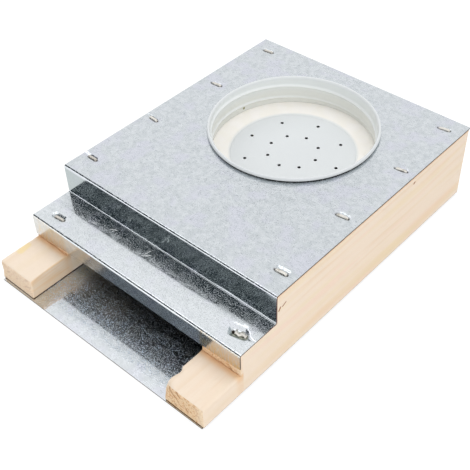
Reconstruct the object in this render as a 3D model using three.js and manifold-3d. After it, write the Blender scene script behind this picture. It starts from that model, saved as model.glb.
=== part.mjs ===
// Hive entrance feeder for bees. Two stepped wooden rails are boxed in by a bent top sheet and a
// bent floor sheet of galvanised steel. A perforated jar lid hangs by its rolled rim in the round
// hole of the top sheet, open side up, and bees walk in between the two tongues to reach it.
// Millimetres, Z up. X runs across the feeder, and Y from the hive entrance to the back.
// Y is zero at the riser and Z is zero under the floor sheet, until the whole is centred at the end.
import * as THREE from "three";
import { mergeVertices } from "three/addons/utils/BufferGeometryUtils.js";
import Module from "manifold-3d";

const wasm = await Module();
wasm.setup();

// Rails: sawn wood, stepped twice, with a tongue that reaches into the hive entrance
const railThickness = 19.2;
const plateLength = 127.6;
const stepLength = 19.8;
const tongueLength = 19.5;
const tongueHeight = 9.8;
const stepRise = 11.5;
const riserHeight = 14;
const arrisEase = 0.5;
const cornerEase = 1.2;
const kerfDepth = 0.4;
const kerfReach = 0.1;

// Sheets: galvanised steel, folded with one inside radius
const sheetGauge = 0.5;
const foldRadius = 0.8;
const lipGapLeft = 1.4;
const lipGapRight = 4.2;
const floorLead = 1;
const floorInset = 0.6;
const plateOverhang = 0.2;

// Jar lid: a pressed tinplate cup with a rolled rim, a channel round its panel and two rings of holes
const lidRadius = 36;
const lidGauge = 0.5;
const rimRadius = 0.95;
const lidDepth = 14.1;
const lidCornerRadius = 0.8;
const channelWidth = 7.2;
const channelDepth = 0.6;
const channelSlope = 0.6;
const perforationRadius = 0.75;
const innerRingRadius = 11.35;
const outerRingRadius = 21.6;
const perforationsPerRing = 8;
const ringTurnDegrees = 7.3;

// Gasket: a ring of soft compound laid in the channel
const gasketProud = 0.3;
const gasketEdge = 0.15;

// Hole in the top sheet
const backMargin = 10.5;
const holeOffset = -0.8;

// Staples: narrow crown, flat wire, driven until the sheet dents round them
const crownLength = 5.4;
const wireWidth = 1.25;
const wireThickness = 0.8;
const wireBend = 0.3;
const legLength = 12;
const crownSink = 0.1;
const dentReach = 1;
const dentSlope = 0.5;
const dentWidth = 2.2;
const dentFloorWidth = 1.3;

// Clearances
const seatGap = 0.1;
const cutGap = 0.3;
const lidPlay = 0.5;
const lidSeatGap = 0.2;
const lidSideGap = 1;
const flangeGap = 0.3;
const overrun = 2;

// Facets
const foldSteps = 6;
const rimSteps = 9;
const cornerSteps = 3;
const roundSegments = 64;
const perforationSegments = 12;
const dentSegments = 12;
const weldShare = 1e-6;

// Places of the staples. The first number is the distance in from the rail's outer side as a share
// of the rail's thickness, the second is the place along as a share of the length or height that
// the row follows, and the last is the crown's turn in degrees.
const plateStapleShares = {
  left: [
    [0.255, 0.087, -1],
    [0.24, 0.367, -6],
    [0.4, 0.661, 5],
    [0.4, 0.949, 6],
  ],
  right: [
    [0.36, 0.085, 4],
    [0.417, 0.382, 7],
    [0.35, 0.678, 8],
    [0.43, 0.949, 9],
  ],
};
const stepStapleShares = { left: [[0.505, 0.687, 7]], right: [[0.354, 0.601, 14]] };
const floorFrontShares = { left: [[0.5, 0.2, 0]], right: [[0.5, 0.2, 0]] };
const floorStapleShares = {
  left: [
    [0.5, 0.45, 0],
    [0.5, 0.8, 0],
  ],
  right: [
    [0.5, 0.45, 0],
    [0.5, 0.8, 0],
  ],
};
const backStapleShares = {
  left: [
    [0.5, 0.2, 0],
    [0.5, 0.45, 0],
  ],
  right: [
    [0.5, 0.2, 0],
    [0.5, 0.45, 0],
  ],
};

// Sizes that follow from the ones above
const holeRadius = lidRadius + lidPlay;
const railSpacing = 2 * (lidRadius + Math.abs(holeOffset) + lidSideGap);
const boxWidth = railSpacing + 2 * railThickness;
const railCentreX = (railSpacing + railThickness) / 2;
const sheetLift = sheetGauge + seatGap;
const railBottom = sheetLift;
const tongueTop = railBottom + tongueHeight;
const stepTop = tongueTop + stepRise;
const plateTop = stepTop + riserHeight;
const tongueFront = -stepLength - tongueLength;
const floorFront = tongueFront - floorLead;
const flangeFace = plateLength + seatGap + sheetGauge;
const plateBack = flangeFace + plateOverhang;
const holeCentreY = plateLength - backMargin - holeRadius;
const dentDepth = crownSink + wireThickness + seatGap;
const weldDistance = boxWidth * weldShare;

const wood = new THREE.MeshStandardMaterial({ color: 0xefd9ba, roughness: 0.8, metalness: 0 });
const zinc = new THREE.MeshStandardMaterial({ color: 0xc6ccd1, roughness: 0.35, metalness: 1 });
const wire = new THREE.MeshStandardMaterial({ color: 0xa9abaa, roughness: 0.4, metalness: 1 });
const enamel = new THREE.MeshStandardMaterial({ color: 0xe1e5e6, roughness: 0.3, metalness: 0 });
const compound = new THREE.MeshStandardMaterial({ color: 0xf3f0e6, roughness: 0.6, metalness: 0 });

// A closed geometry, moved by a matrix, as a solid that can be joined and cut.
function solidOf(geometry, matrix = new THREE.Matrix4()) {
  const bare = geometry.index ? geometry.toNonIndexed() : geometry.clone();
  bare.deleteAttribute("normal");
  bare.deleteAttribute("uv");
  bare.applyMatrix4(matrix);
  const merged = mergeVertices(bare, weldDistance);
  const vertProperties = merged.attributes.position.array;
  const triVerts = new Uint32Array(merged.index.array);
  return new wasm.Manifold(new wasm.Mesh({ numProp: 3, vertProperties, triVerts }));
}

// The geometry of a solid, for a mesh.
function geometryOf(solid) {
  const { vertProperties, triVerts, numProp } = solid.getMesh();
  const geometry = new THREE.BufferGeometry();
  geometry.setAttribute("position", new THREE.BufferAttribute(vertProperties, numProp));
  geometry.setIndex(new THREE.BufferAttribute(triVerts, 1));
  geometry.computeVertexNormals();
  return geometry;
}

function named(name, geometry, material) {
  const mesh = new THREE.Mesh(geometry, material);
  mesh.name = name;
  return mesh;
}

// The outline of a strip bent along a line of corners: straight legs joined by concentric arcs,
// with half the gauge on each side of the line.
function bentStrip(corners, insideRadius, gauge, steps) {
  const bendRadius = insideRadius + gauge / 2;
  const left = [];
  const right = [];
  const addPair = (point, side) => {
    left.push(point.clone().addScaledVector(side, gauge / 2));
    right.push(point.clone().addScaledVector(side, -gauge / 2));
  };
  corners.forEach((corner, index) => {
    const arriving = corner.clone().sub(corners[Math.max(index - 1, 0)]).normalize();
    const leaving = corners[Math.min(index + 1, corners.length - 1)].clone().sub(corner).normalize();
    if (index === 0 || index === corners.length - 1) {
      const along = index === 0 ? leaving : arriving;
      addPair(corner, new THREE.Vector2(-along.y, along.x));
      return;
    }
    const turn = Math.atan2(arriving.cross(leaving), arriving.dot(leaving));
    const toCentre = new THREE.Vector2(-arriving.y, arriving.x).multiplyScalar(Math.sign(turn));
    const start = corner.clone().addScaledVector(arriving, -bendRadius * Math.tan(Math.abs(turn) / 2));
    const centre = start.clone().addScaledVector(toCentre, bendRadius);
    for (let step = 0; step <= steps; step += 1) {
      const spoke = toCentre.clone().negate();
      spoke.rotateAround(new THREE.Vector2(), (turn * step) / steps);
      const side = spoke.clone().multiplyScalar(-Math.sign(turn));
      addPair(centre.clone().addScaledVector(spoke, bendRadius), side);
    }
  });
  return new THREE.Shape([...right, ...left.reverse()]);
}

// An outline drawn in Y and Z, carried across X by a width and centred on it.
function acrossWidth(outline, width, ease = 0) {
  const geometry = new THREE.ExtrudeGeometry(outline, {
    depth: width - 2 * ease,
    curveSegments: cornerSteps,
    bevelEnabled: ease > 0,
    bevelThickness: ease,
    bevelSize: ease,
    bevelOffset: -ease,
    bevelSegments: 1,
  });
  geometry.translate(0, 0, ease - width / 2);
  const toPart = new THREE.Matrix4().makeBasis(
    new THREE.Vector3(0, 1, 0),
    new THREE.Vector3(0, 0, 1),
    new THREE.Vector3(1, 0, 0),
  );
  return geometry.applyMatrix4(toPart);
}

// A round piece from its profile of radius and height, with its axis along Z.
function turned(profile) {
  return new THREE.LatheGeometry(profile, roundSegments).rotateX(Math.PI / 2);
}

// A rod along Z between two heights.
function rod(radius, bottom, top, segments) {
  const geometry = new THREE.CylinderGeometry(radius, radius, top - bottom, segments);
  return geometry.rotateX(Math.PI / 2).translate(0, 0, (bottom + top) / 2);
}

// Points of an arc in a profile, by its centre, radius and two angles.
function arcPoints(centreX, centreY, radius, fromAngle, toAngle, steps) {
  return Array.from({ length: steps + 1 }, (_, step) => {
    const angle = fromAngle + ((toAngle - fromAngle) * step) / steps;
    return new THREE.Vector2(centreX + radius * Math.cos(angle), centreY + radius * Math.sin(angle));
  });
}

// A staple's own frame has its crown along X, its legs down Z and Z zero at the sheet's outer face.
function stapleFrame(place, outward, turnDegrees) {
  const crown = new THREE.Vector3(1, 0, 0).applyAxisAngle(outward, THREE.MathUtils.degToRad(turnDegrees));
  const width = new THREE.Vector3().crossVectors(outward, crown);
  return new THREE.Matrix4().makeBasis(crown, width, outward).setPosition(place);
}

// One row of staples for both rails, placed by a function of the side and of the share along.
function stapleRow(prefix, shares, outward, placeAt) {
  return ["left", "right"].flatMap((side) =>
    shares[side].map(([insetShare, alongShare, turnDegrees], index) => {
      const outer = boxWidth / 2 - insetShare * railThickness;
      const x = side === "left" ? -outer : outer;
      const place = placeAt(x, alongShare);
      const number = shares[side].length > 1 ? `_${index + 1}` : "";
      const name = `${prefix}_staple_${side}${number}`;
      return { name, side, matrix: stapleFrame(place, outward, turnDegrees) };
    }),
  );
}

const up = new THREE.Vector3(0, 0, 1);
const down = new THREE.Vector3(0, 0, -1);
const backward = new THREE.Vector3(0, 1, 0);

// Places on the outer faces of the two sheets, from a distance across and a share along.
const onPlate = (x, share) => new THREE.Vector3(x, share * plateLength, plateTop);
const onStep = (x, share) => new THREE.Vector3(x, -share * stepLength, stepTop);
const underPlate = (x, share) => new THREE.Vector3(x, share * plateLength, 0);
const underStep = (x, share) => new THREE.Vector3(x, -share * stepLength, 0);
const onFlange = (x, share) => new THREE.Vector3(x, flangeFace, share * plateTop);

const topStaples = [
  ...stapleRow("plate", plateStapleShares, up, onPlate),
  ...stapleRow("step", stepStapleShares, up, onStep),
];
const floorStaples = [
  ...stapleRow("floor_front", floorFrontShares, down, underStep),
  ...stapleRow("floor", floorStapleShares, down, underPlate),
  ...stapleRow("back", backStapleShares, backward, onFlange),
];

// Half sizes of a dent's oval at a height, where zero is the sheet's face and dents go down.
function dentOval(height, grow) {
  const share = -height / dentDepth;
  const length = crownLength / 2 + dentReach - dentSlope * share;
  const width = THREE.MathUtils.lerp(dentWidth, dentFloorWidth, share);
  return new THREE.Vector2(length + grow, width + grow);
}

// A frustum between two ovals, from a unit cylinder whose two ends are scaled one by one.
function ovalFrustum(lowerOval, upperOval, bottom, top) {
  const geometry = new THREE.CylinderGeometry(1, 1, 1, dentSegments).rotateX(Math.PI / 2);
  const points = geometry.attributes.position;
  for (let index = 0; index < points.count; index += 1) {
    const isUpper = points.getZ(index) > 0;
    const oval = isUpper ? upperOval : lowerOval;
    const height = isUpper ? top : bottom;
    points.setXYZ(index, points.getX(index) * oval.x, points.getY(index) * oval.y, height);
  }
  return geometry;
}

// The hollow that the crown lies in.
function dentHollow() {
  return ovalFrustum(dentOval(-dentDepth, 0), dentOval(overrun, 0), -dentDepth, overrun);
}

// The sheet pushed down round that hollow, and with a gap the recess that it leaves in the wood.
function dentBulge(gap) {
  const depth = dentDepth + sheetGauge + gap;
  const grow = sheetGauge + gap;
  return ovalFrustum(dentOval(-dentDepth, grow), dentOval(0, grow), -depth, -sheetGauge / 2);
}

// The two slots that the legs pass through.
function legSlots(matrix) {
  const legX = (crownLength - wireThickness) / 2;
  const depth = legLength + cutGap;
  const slot = new THREE.BoxGeometry(wireThickness + 2 * cutGap, wireWidth + 2 * cutGap, depth);
  slot.translate(0, 0, -depth / 2);
  const leftSlot = solidOf(slot.clone().translate(-legX, 0, 0), matrix);
  return leftSlot.add(solidOf(slot.clone().translate(legX, 0, 0), matrix));
}

function stapleGeometry() {
  const legX = (crownLength - wireThickness) / 2;
  const crownZ = -crownSink - wireThickness / 2;
  const corners = [
    new THREE.Vector2(-legX, -legLength),
    new THREE.Vector2(-legX, crownZ),
    new THREE.Vector2(legX, crownZ),
    new THREE.Vector2(legX, -legLength),
  ];
  const outline = bentStrip(corners, wireBend, wireThickness, cornerSteps);
  const geometry = new THREE.ExtrudeGeometry(outline, { depth: wireWidth, bevelEnabled: false });
  return geometry.translate(0, 0, -wireWidth / 2).rotateX(Math.PI / 2);
}

function dentedSheet(sheet, staples) {
  let solid = sheet;
  for (const { matrix } of staples) solid = solid.add(solidOf(dentBulge(0), matrix));
  for (const { matrix } of staples) {
    solid = solid.subtract(solidOf(dentHollow(), matrix)).subtract(legSlots(matrix));
  }
  return solid;
}

// Side outline of a rail, from the worn upper edge of the tongue's front down and round by the back.
// The saw that cut the tongue free ran on a little, and left a shallow kerf below the lip.
function railOutline() {
  const riserWood = sheetLift;
  const lipWood = sheetLift - stepLength;
  const railTop = plateTop - sheetLift;
  const stepWood = stepTop - sheetLift;
  const outline = new THREE.Shape();
  outline.absarc(tongueFront + cornerEase, tongueTop - cornerEase, cornerEase, Math.PI / 2, Math.PI);
  outline.lineTo(tongueFront, railBottom);
  outline.absarc(plateLength - cornerEase, railBottom + cornerEase, cornerEase, -Math.PI / 2, 0);
  outline.lineTo(plateLength, railTop);
  outline.absarc(riserWood + cornerEase, railTop - cornerEase, cornerEase, Math.PI / 2, Math.PI);
  outline.lineTo(riserWood, stepWood);
  outline.absarc(lipWood + cornerEase, stepWood - cornerEase, cornerEase, Math.PI / 2, Math.PI);
  outline.lineTo(lipWood, tongueTop - kerfDepth);
  outline.lineTo(-stepLength - kerfReach, tongueTop - kerfDepth);
  outline.lineTo(-stepLength - kerfReach, tongueTop);
  outline.closePath();
  return outline;
}

function makeRail(side) {
  const x = side === "left" ? -railCentreX : railCentreX;
  const toRail = new THREE.Matrix4().makeTranslation(-x, 0, 0);
  let solid = solidOf(acrossWidth(railOutline(), railThickness, arrisEase));
  for (const { matrix, side: stapleSide } of [...topStaples, ...floorStaples]) {
    if (stapleSide !== side) continue;
    const local = toRail.clone().multiply(matrix);
    solid = solid.subtract(solidOf(dentBulge(cutGap), local)).subtract(legSlots(local));
  }
  const rail = named(`${side}_rail`, geometryOf(solid), wood);
  rail.position.x = x;
  return rail;
}

// The wedge cut off the lip, whose lower edge climbs from the left to the right.
function lipTrim() {
  const climb = (lipGapRight - lipGapLeft) / boxWidth;
  const reach = boxWidth / 2 + overrun;
  const middle = tongueTop + (lipGapLeft + lipGapRight) / 2;
  const outline = new THREE.Shape();
  outline.moveTo(-reach, railBottom);
  outline.lineTo(reach, railBottom);
  outline.lineTo(reach, middle + climb * reach);
  outline.lineTo(-reach, middle - climb * reach);
  outline.closePath();
  const depth = 2 * (sheetGauge + overrun);
  const geometry = new THREE.ExtrudeGeometry(outline, { depth, bevelEnabled: false });
  return geometry.rotateX(Math.PI / 2).translate(0, depth / 2 - stepLength, 0);
}

// One sheet: upper plate, riser, lower plate and lip, with the hole for the lid.
function makeTopSheet() {
  const half = sheetGauge / 2;
  const corners = [
    new THREE.Vector2(plateBack, plateTop - half),
    new THREE.Vector2(half, plateTop - half),
    new THREE.Vector2(half, stepTop - half),
    new THREE.Vector2(half - stepLength, stepTop - half),
    new THREE.Vector2(half - stepLength, tongueTop),
  ];
  const outline = bentStrip(corners, foldRadius, sheetGauge, foldSteps);
  const hole = rod(holeRadius, plateTop - sheetGauge - overrun, plateTop + overrun, roundSegments);
  const solid = solidOf(acrossWidth(outline, boxWidth))
    .subtract(solidOf(lipTrim()))
    .subtract(solidOf(hole.translate(holeOffset, holeCentreY, 0)));
  return named("top_sheet", geometryOf(dentedSheet(solid, topStaples)), zinc);
}

// One sheet: floor under both rails and a flange turned up behind them, a little narrower than both.
function makeFloorSheet() {
  const half = sheetGauge / 2;
  const corners = [
    new THREE.Vector2(floorFront, half),
    new THREE.Vector2(flangeFace - half, half),
    new THREE.Vector2(flangeFace - half, plateTop - sheetGauge - flangeGap),
  ];
  const outline = bentStrip(corners, foldRadius, sheetGauge, foldSteps);
  const solid = solidOf(acrossWidth(outline, boxWidth - 2 * floorInset));
  return named("floor_sheet", geometryOf(dentedSheet(solid, floorStaples)), zinc);
}

// The lid's own frame has Z zero at the centre of its rolled rim.
const wallInside = lidRadius - lidGauge;
const panelRadius = wallInside - channelWidth;
const rimCentre = wallInside + rimRadius;
const panelTop = -lidDepth;
const channelFloor = panelTop - channelDepth;

// Half section of the lid: up inside the cup, over the rolled rim and back down outside.
function lidProfile() {
  const cornerX = wallInside - lidCornerRadius;
  const cornerY = channelFloor + lidCornerRadius;
  const rimEnd = (-4 * Math.PI) / 9;
  const inside = [
    new THREE.Vector2(0, panelTop),
    new THREE.Vector2(panelRadius, panelTop),
    new THREE.Vector2(panelRadius + channelSlope, channelFloor),
    ...arcPoints(cornerX, cornerY, lidCornerRadius, -Math.PI / 2, 0, cornerSteps),
    ...arcPoints(rimCentre, 0, rimRadius, Math.PI, rimEnd, rimSteps),
  ];
  const outside = [
    ...arcPoints(rimCentre, 0, rimRadius - lidGauge, rimEnd, Math.PI, rimSteps),
    ...arcPoints(cornerX, cornerY, lidCornerRadius + lidGauge, 0, -Math.PI / 2, cornerSteps),
    new THREE.Vector2(panelRadius + channelSlope, channelFloor - lidGauge),
    new THREE.Vector2(panelRadius, panelTop - lidGauge),
    new THREE.Vector2(0, panelTop - lidGauge),
  ];
  return [...inside, ...outside].reverse();
}

function makeLid() {
  let solid = solidOf(turned(lidProfile()));
  for (const ringRadius of [innerRingRadius, outerRingRadius]) {
    for (let index = 0; index < perforationsPerRing; index += 1) {
      const angle = THREE.MathUtils.degToRad(ringTurnDegrees) + (2 * Math.PI * index) / perforationsPerRing;
      const drill = rod(perforationRadius, panelTop - overrun, panelTop + overrun, perforationSegments);
      drill.translate(ringRadius * Math.cos(angle), ringRadius * Math.sin(angle), 0);
      solid = solid.subtract(solidOf(drill));
    }
  }
  return named("jar_lid", geometryOf(solid), enamel);
}

// The gasket fills the channel between the panel's step and the lid's rounded corner.
function makeGasket() {
  const bottom = channelFloor + seatGap;
  const top = panelTop + gasketProud;
  const inner = panelRadius + cutGap;
  const outer = wallInside - cutGap;
  const profile = [
    new THREE.Vector2(panelRadius + channelSlope + seatGap, bottom),
    new THREE.Vector2(wallInside - lidCornerRadius, bottom),
    new THREE.Vector2(outer, top - gasketEdge),
    new THREE.Vector2(outer - gasketEdge, top),
    new THREE.Vector2(inner + gasketEdge, top),
    new THREE.Vector2(inner, top - gasketEdge),
  ];
  return named("lid_gasket", turned([...profile, profile[0]]), compound);
}

function makeStaple({ name, matrix }) {
  const staple = named(name, stapleGeometry(), wire);
  staple.applyMatrix4(matrix);
  return staple;
}

const lid = new THREE.Group();
lid.add(makeLid(), makeGasket());
lid.position.set(holeOffset, holeCentreY, plateTop + lidSeatGap + rimRadius);

const feeder = new THREE.Group();
feeder.add(makeRail("left"), makeRail("right"), makeTopSheet(), makeFloorSheet());
feeder.add(...topStaples.map(makeStaple), ...floorStaples.map(makeStaple));
feeder.add(lid);
feeder.position.y = -(floorFront + plateBack) / 2;

export default feeder;
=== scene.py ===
import functools
import math
from types import SimpleNamespace

import bpy
import numpy as np
from bpy.props import FloatProperty, FloatVectorProperty, PointerProperty
from mathutils import Matrix, Vector


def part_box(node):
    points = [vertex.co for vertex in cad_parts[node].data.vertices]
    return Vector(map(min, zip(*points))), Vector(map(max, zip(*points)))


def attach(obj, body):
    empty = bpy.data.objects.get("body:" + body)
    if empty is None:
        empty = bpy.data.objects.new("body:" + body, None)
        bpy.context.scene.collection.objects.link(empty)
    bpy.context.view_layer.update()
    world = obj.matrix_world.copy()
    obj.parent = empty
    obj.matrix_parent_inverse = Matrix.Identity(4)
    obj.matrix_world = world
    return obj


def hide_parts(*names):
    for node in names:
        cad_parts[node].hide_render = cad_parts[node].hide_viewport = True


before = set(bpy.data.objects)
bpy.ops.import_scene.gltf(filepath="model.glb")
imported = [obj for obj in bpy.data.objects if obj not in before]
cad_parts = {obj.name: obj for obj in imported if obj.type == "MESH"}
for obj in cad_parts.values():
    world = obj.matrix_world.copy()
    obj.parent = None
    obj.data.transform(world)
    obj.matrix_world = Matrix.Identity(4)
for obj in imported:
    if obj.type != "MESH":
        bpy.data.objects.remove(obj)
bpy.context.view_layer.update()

bl_info = {
    "name": "Hive Entrance Feeder",
    "version": (1, 0, 0),
    "blender": (4, 5, 0),
    "location": "3D View > Sidebar > Feeder",
    "description": "Makes the visible pieces of a wood and sheet metal feeder for a bee hive's entrance",
    "category": "Object",
}

MM = 0.001
BOX = "feeder_box"
LID = "lid"


def linear(hex_colour):
    """An sRGB colour written as #RRGGBB, as linear values with an alpha of 1."""
    shares = [int(hex_colour[i : i + 2], 16) / 255 for i in (1, 3, 5)]
    return tuple(s / 12.92 if s <= 0.04045 else ((s + 0.055) / 1.055) ** 2.4 for s in shares) + (1.0,)


def length(name, description, millimetres):
    """A length for the panel. Blender keeps it in metres."""
    return FloatProperty(
        name=name, description=description, default=millimetres * MM, unit="LENGTH", precision=5
    )


def colour(name, description, hex_colour):
    """A colour for the panel, from its sRGB value."""
    return FloatVectorProperty(
        name=name, description=description, default=linear(hex_colour), size=4, min=0, max=1, subtype="COLOR"
    )


class FeederSizes(bpy.types.PropertyGroup):
    """Real sizes of the feeder's pieces."""

    sheet_gauge: length("Sheet gauge", "Thickness of the galvanised sheet", 0.5)
    fold_radius: length("Fold radius", "Inside radius of the sheet's folds", 0.5)
    riser_height: length("Riser height", "From the lower plate up to the upper plate", 14)
    step_length: length("Step length", "From the lip to the riser", 19.8)
    tongue_length: length("Tongue length", "Length of the tongues in front of the lip", 19.5)
    tongue_height: length("Tongue height", "Height of the tongues", 9.8)
    kerf_depth: length("Kerf depth", "Depth of the saw's overrun at the foot of the lip", 0.4)
    hole_play: length("Hole play", "From the lid's wall to the edge of its hole", 0.5)
    dent_depth: length("Dent depth", "Depth of the shallow bowl round each staple", 0.48)
    slot_depth: length("Slot depth", "How much deeper the sheet lies right under each staple", 0.32)
    sheet_wave: length("Sheet wave", "Height of the slow waves that bending leaves in the sheet", 0.05)
    tin_gauge: length("Tin gauge", "Thickness of the lid's tinplate", 0.25)
    rim_width: length("Rim width", "From the lid's wall to the outside of its rim", 1.5)
    rim_height: length("Rim height", "Sets how high the lid's rolled rim stands", 1.55)
    thread_depth: length("Thread depth", "How far the lid's thread stands in from its wall", 0.8)
    thread_pitch: length("Thread pitch", "Rise of the lid's thread in one turn", 6.2)
    gasket_climb: length("Gasket climb", "How much higher the sealing compound lies at the lid's wall", 1.1)
    hole_radius: length("Perforation radius", "Radius of the holes in the lid", 0.75)
    arris_radius: length("Arris radius", "Rounding of the rails' sawn edges", 0.4)
    tongue_radius: length("Tongue radius", "Rounding of the tongues' front ends", 1.3)
    wood_lift: length("Wood lift", "Gap that the wood leaves over the floor sheet", 0.06)
    floor_skew: length("Floor skew", "How much further back the floor's front is cut on the right", 0.6)
    wire_width: length("Wire width", "Width of the flat staple wire", 1.25)
    wire_thickness: length("Wire thickness", "Thickness of the flat staple wire", 0.8)
    wire_round: length("Wire rounding", "Rounding of the staple wire's edges", 0.25)
    spangle: length("Spangle", "Size of the zinc's crystals", 0.42)
    grain_spacing: length("Grain spacing", "Distance between the wood's growth rings", 3.2)


class FeederColours(bpy.types.PropertyGroup):
    """Colours of the feeder's materials."""

    zinc_light: colour("Zinc, light", "Lighter clouds of the galvanised sheet", "#DADFE3")
    zinc_dark: colour("Zinc, dark", "Darker clouds of the galvanised sheet", "#CCD2D6")
    zinc_violet: colour("Zinc, violet", "Violet tint of some of the zinc's clouds", "#D6D8E4")
    # Also stands in for the shade of the gap under the lid's rim and in its holes.
    lacquer: colour("Lacquer", "Dark lacquer on the outside of the lid", "#1B1C1E")
    # Painted contact shadow at the foot of the wood.
    bottom_edge: colour("Bottom edge", "Dark line where the wood lies on the floor sheet", "#5A3E28")
    cut_steel: colour("Cut steel", "Sheared edges of the sheet", "#54453B")
    # Also laid as painted shade in the gaps round the staples and on the staple wire below the sheet.
    rust: colour("Rust", "First rust on sheared edges and in the staples' pits", "#46372C")
    # Painted reflection: a warm tint that stands for the wood mirrored in the lip.
    resin_stain: colour("Resin stain", "Warm film on the lip where it stands on the wood", "#DFC595")
    sapwood: colour("Sapwood", "Body of the wood", "#F7E5D1")
    pink_streak: colour("Pink streak", "Pinkish streaks in the wood", "#F8DFCB")
    yellow_streak: colour("Yellow streak", "Yellowish streaks in the wood", "#F3E0BA")
    growth_ring: colour("Growth ring", "Late wood of each growth ring", "#EBCDA8")
    # Also a painted warm glow of bounce light and shade near the lip.
    cut_glow: colour("Cut glow", "Orange tinge of the wood at the saw's kerf", "#EBBB84")
    end_grain: colour("End grain", "Sawn ends of the wood", "#F3D5AE")
    end_pores: colour("End pores", "Dark pores of the sawn ends", "#BC7D43")
    enamel: colour("Enamel", "Lid's enamel", "#E1E4E5")
    # Painted bounce light from the cream gasket, low on the lid's wall.
    wall_enamel: colour("Wall enamel", "Warmer enamel low on the lid's wall", "#E5E6E0")
    compound: colour("Gasket compound", "Lid's gasket", "#FCF8F3")
    staple_zinc: colour("Staple wire", "Galvanised staple wire", "#F1EEE7")
    staple_dirt: colour("Staple dirt", "Dark scratches on the staples", "#A8A497")
    staple_dull: colour("Staple, dull", "Crowns whose zinc the driver has rubbed dull", "#9D938A")


def sizes():
    """The sizes in millimetres, by name."""
    group = bpy.context.scene.feeder_sizes
    return SimpleNamespace(**{name: getattr(group, name) / MM for name in FeederSizes.__annotations__})


def colours():
    """The colours as linear values, by name."""
    group = bpy.context.scene.feeder_colours
    return SimpleNamespace(**{name: tuple(getattr(group, name)) for name in FeederColours.__annotations__})


# Surfaces


def grid_faces(rows, columns, wrap_columns=False, keep=None):
    """Quads of a grid of points numbered row by row. keep says which cells stay."""
    row = np.arange(rows - 1)[:, None]
    column = np.arange(columns if wrap_columns else columns - 1)[None, :]
    following = (column + 1) % columns
    corners = [(row, column), (row, following), (row + 1, following), (row + 1, column)]
    quads = np.stack([down * columns + along for down, along in corners], axis=-1)
    return quads.reshape(-1, 4) if keep is None else quads[keep]


def used_only(points, face_sets):
    """The points that some face uses, and the faces numbered to match."""
    used = np.unique(np.concatenate([faces.ravel() for faces in face_sets]))
    new_number = np.full(len(points), -1)
    new_number[used] = np.arange(len(used))
    return points[used], [new_number[faces] for faces in face_sets]


def open_borders(faces):
    """Directed edges that only one face has, turned so that a wall built on them faces out."""
    start = faces.ravel()
    end = np.roll(faces, -1, axis=1).ravel()
    number = start.astype(np.int64) * (faces.max() + 1) + end
    reverse = end.astype(np.int64) * (faces.max() + 1) + start
    alone = ~np.isin(number, reverse)
    return np.stack([start[alone], end[alone]], axis=1)


def shell(outer, inner, quads):
    """A closed sheet: its outer face, its inner face and walls along every open border."""
    count = len(outer)
    borders = open_borders(quads)
    walls = np.stack([borders[:, 1], borders[:, 0], borders[:, 0] + count, borders[:, 1] + count], axis=1)
    points = np.concatenate([outer, inner])
    return points, quads, quads[:, ::-1] + count, walls


def make_mesh(name, points, face_sets, smooth_angle=35):
    """A mesh from points in millimetres and sets of faces, smooth but for edges sharper than the angle."""
    points, face_sets = used_only(points, face_sets)
    mesh = bpy.data.meshes.new(name)
    mesh.from_pydata((points * MM).tolist(), [], [face for faces in face_sets for face in faces.tolist()])
    mesh.polygons.foreach_set("use_smooth", np.ones(len(mesh.polygons), bool))
    mesh.set_sharp_from_angle(angle=math.radians(smooth_angle))
    mesh.update()
    return mesh


def vertex_points(mesh):
    """Every vertex of a mesh in millimetres."""
    flat = np.empty(len(mesh.vertices) * 3, np.float32)
    mesh.vertices.foreach_get("co", flat)
    return flat.reshape(-1, 3).astype(float) / MM


def add_layer(mesh, name, values, domain="POINT"):
    """Stores one number for each vertex or face, for a material to read."""
    layer = mesh.attributes.new(name, "FLOAT", domain)
    layer.data.foreach_set("value", np.asarray(values, np.float32))


def place(name, mesh, body, slot, materials, *nodes, face_counts=()):
    """Links a finished mesh into the scene, rides it on its body and hides the CAD nodes that it stands for.

    face_counts says how many faces in a row have each of the materials.
    """
    piece = link_object(name, mesh)
    for made in materials:
        mesh.materials.append(material(made))
    if face_counts:
        numbers = np.repeat(np.arange(len(face_counts)), face_counts)
        mesh.polygons.foreach_set("material_index", numbers.astype(np.int32))
    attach(piece, body)
    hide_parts(*nodes)


def link_object(name, data):
    """An object with that data, unturned at the origin and linked into the scene."""
    made = bpy.data.objects.new(name, data)
    bpy.context.scene.collection.objects.link(made)
    return made


def box_mm(node):
    """The low and the high corner of a CAD node's box in millimetres."""
    return [np.array(corner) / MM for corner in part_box(node)]


def ripple(points, waves):
    """Sum of sine waves over points. Each wave is its turns per mm along x, y and z, and a phase."""
    total = np.zeros(points.shape[:-1])
    for along_x, along_y, along_z, phase in waves:
        total += np.sin(2 * np.pi * (points @ np.array([along_x, along_y, along_z])) + phase)
    return total / len(waves)


def smooth_step(low, high, value):
    """Goes from 0 at low to 1 at high along the cubic 3t^2 - 2t^3, level at both ends."""
    share = np.clip((value - low) / (high - low), 0, 1)
    return share * share * (3 - 2 * share)


def smooth_ramp(share, ease=0.12):
    """A straight ramp from 0 to 1 whose two ends are eased with parabolas."""
    share = np.clip(share, 0, 1)
    low, high = share**2 / (2 * ease), (1 - share) ** 2 / (2 * ease)
    straight = share - ease / 2
    return np.where(share < ease, low, np.where(share > 1 - ease, 1 - ease - high, straight)) / (1 - ease)


def bell(value, width):
    """A bell curve: 1 at zero, and e to the power of minus the squared share of the width."""
    return np.exp(-((value / width) ** 2))


def spread(start, end, spacing):
    """Evenly spaced numbers from start to end, both included, about spacing apart."""
    return np.linspace(start, end, max(int(round(abs(end - start) / spacing)), 1) + 1)


def joined(*runs):
    """Sorted numbers of several runs, with near doubles left out."""
    numbers = np.sort(np.concatenate(runs))
    return numbers[np.concatenate([[True], np.diff(numbers) > 1e-4])]


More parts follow.
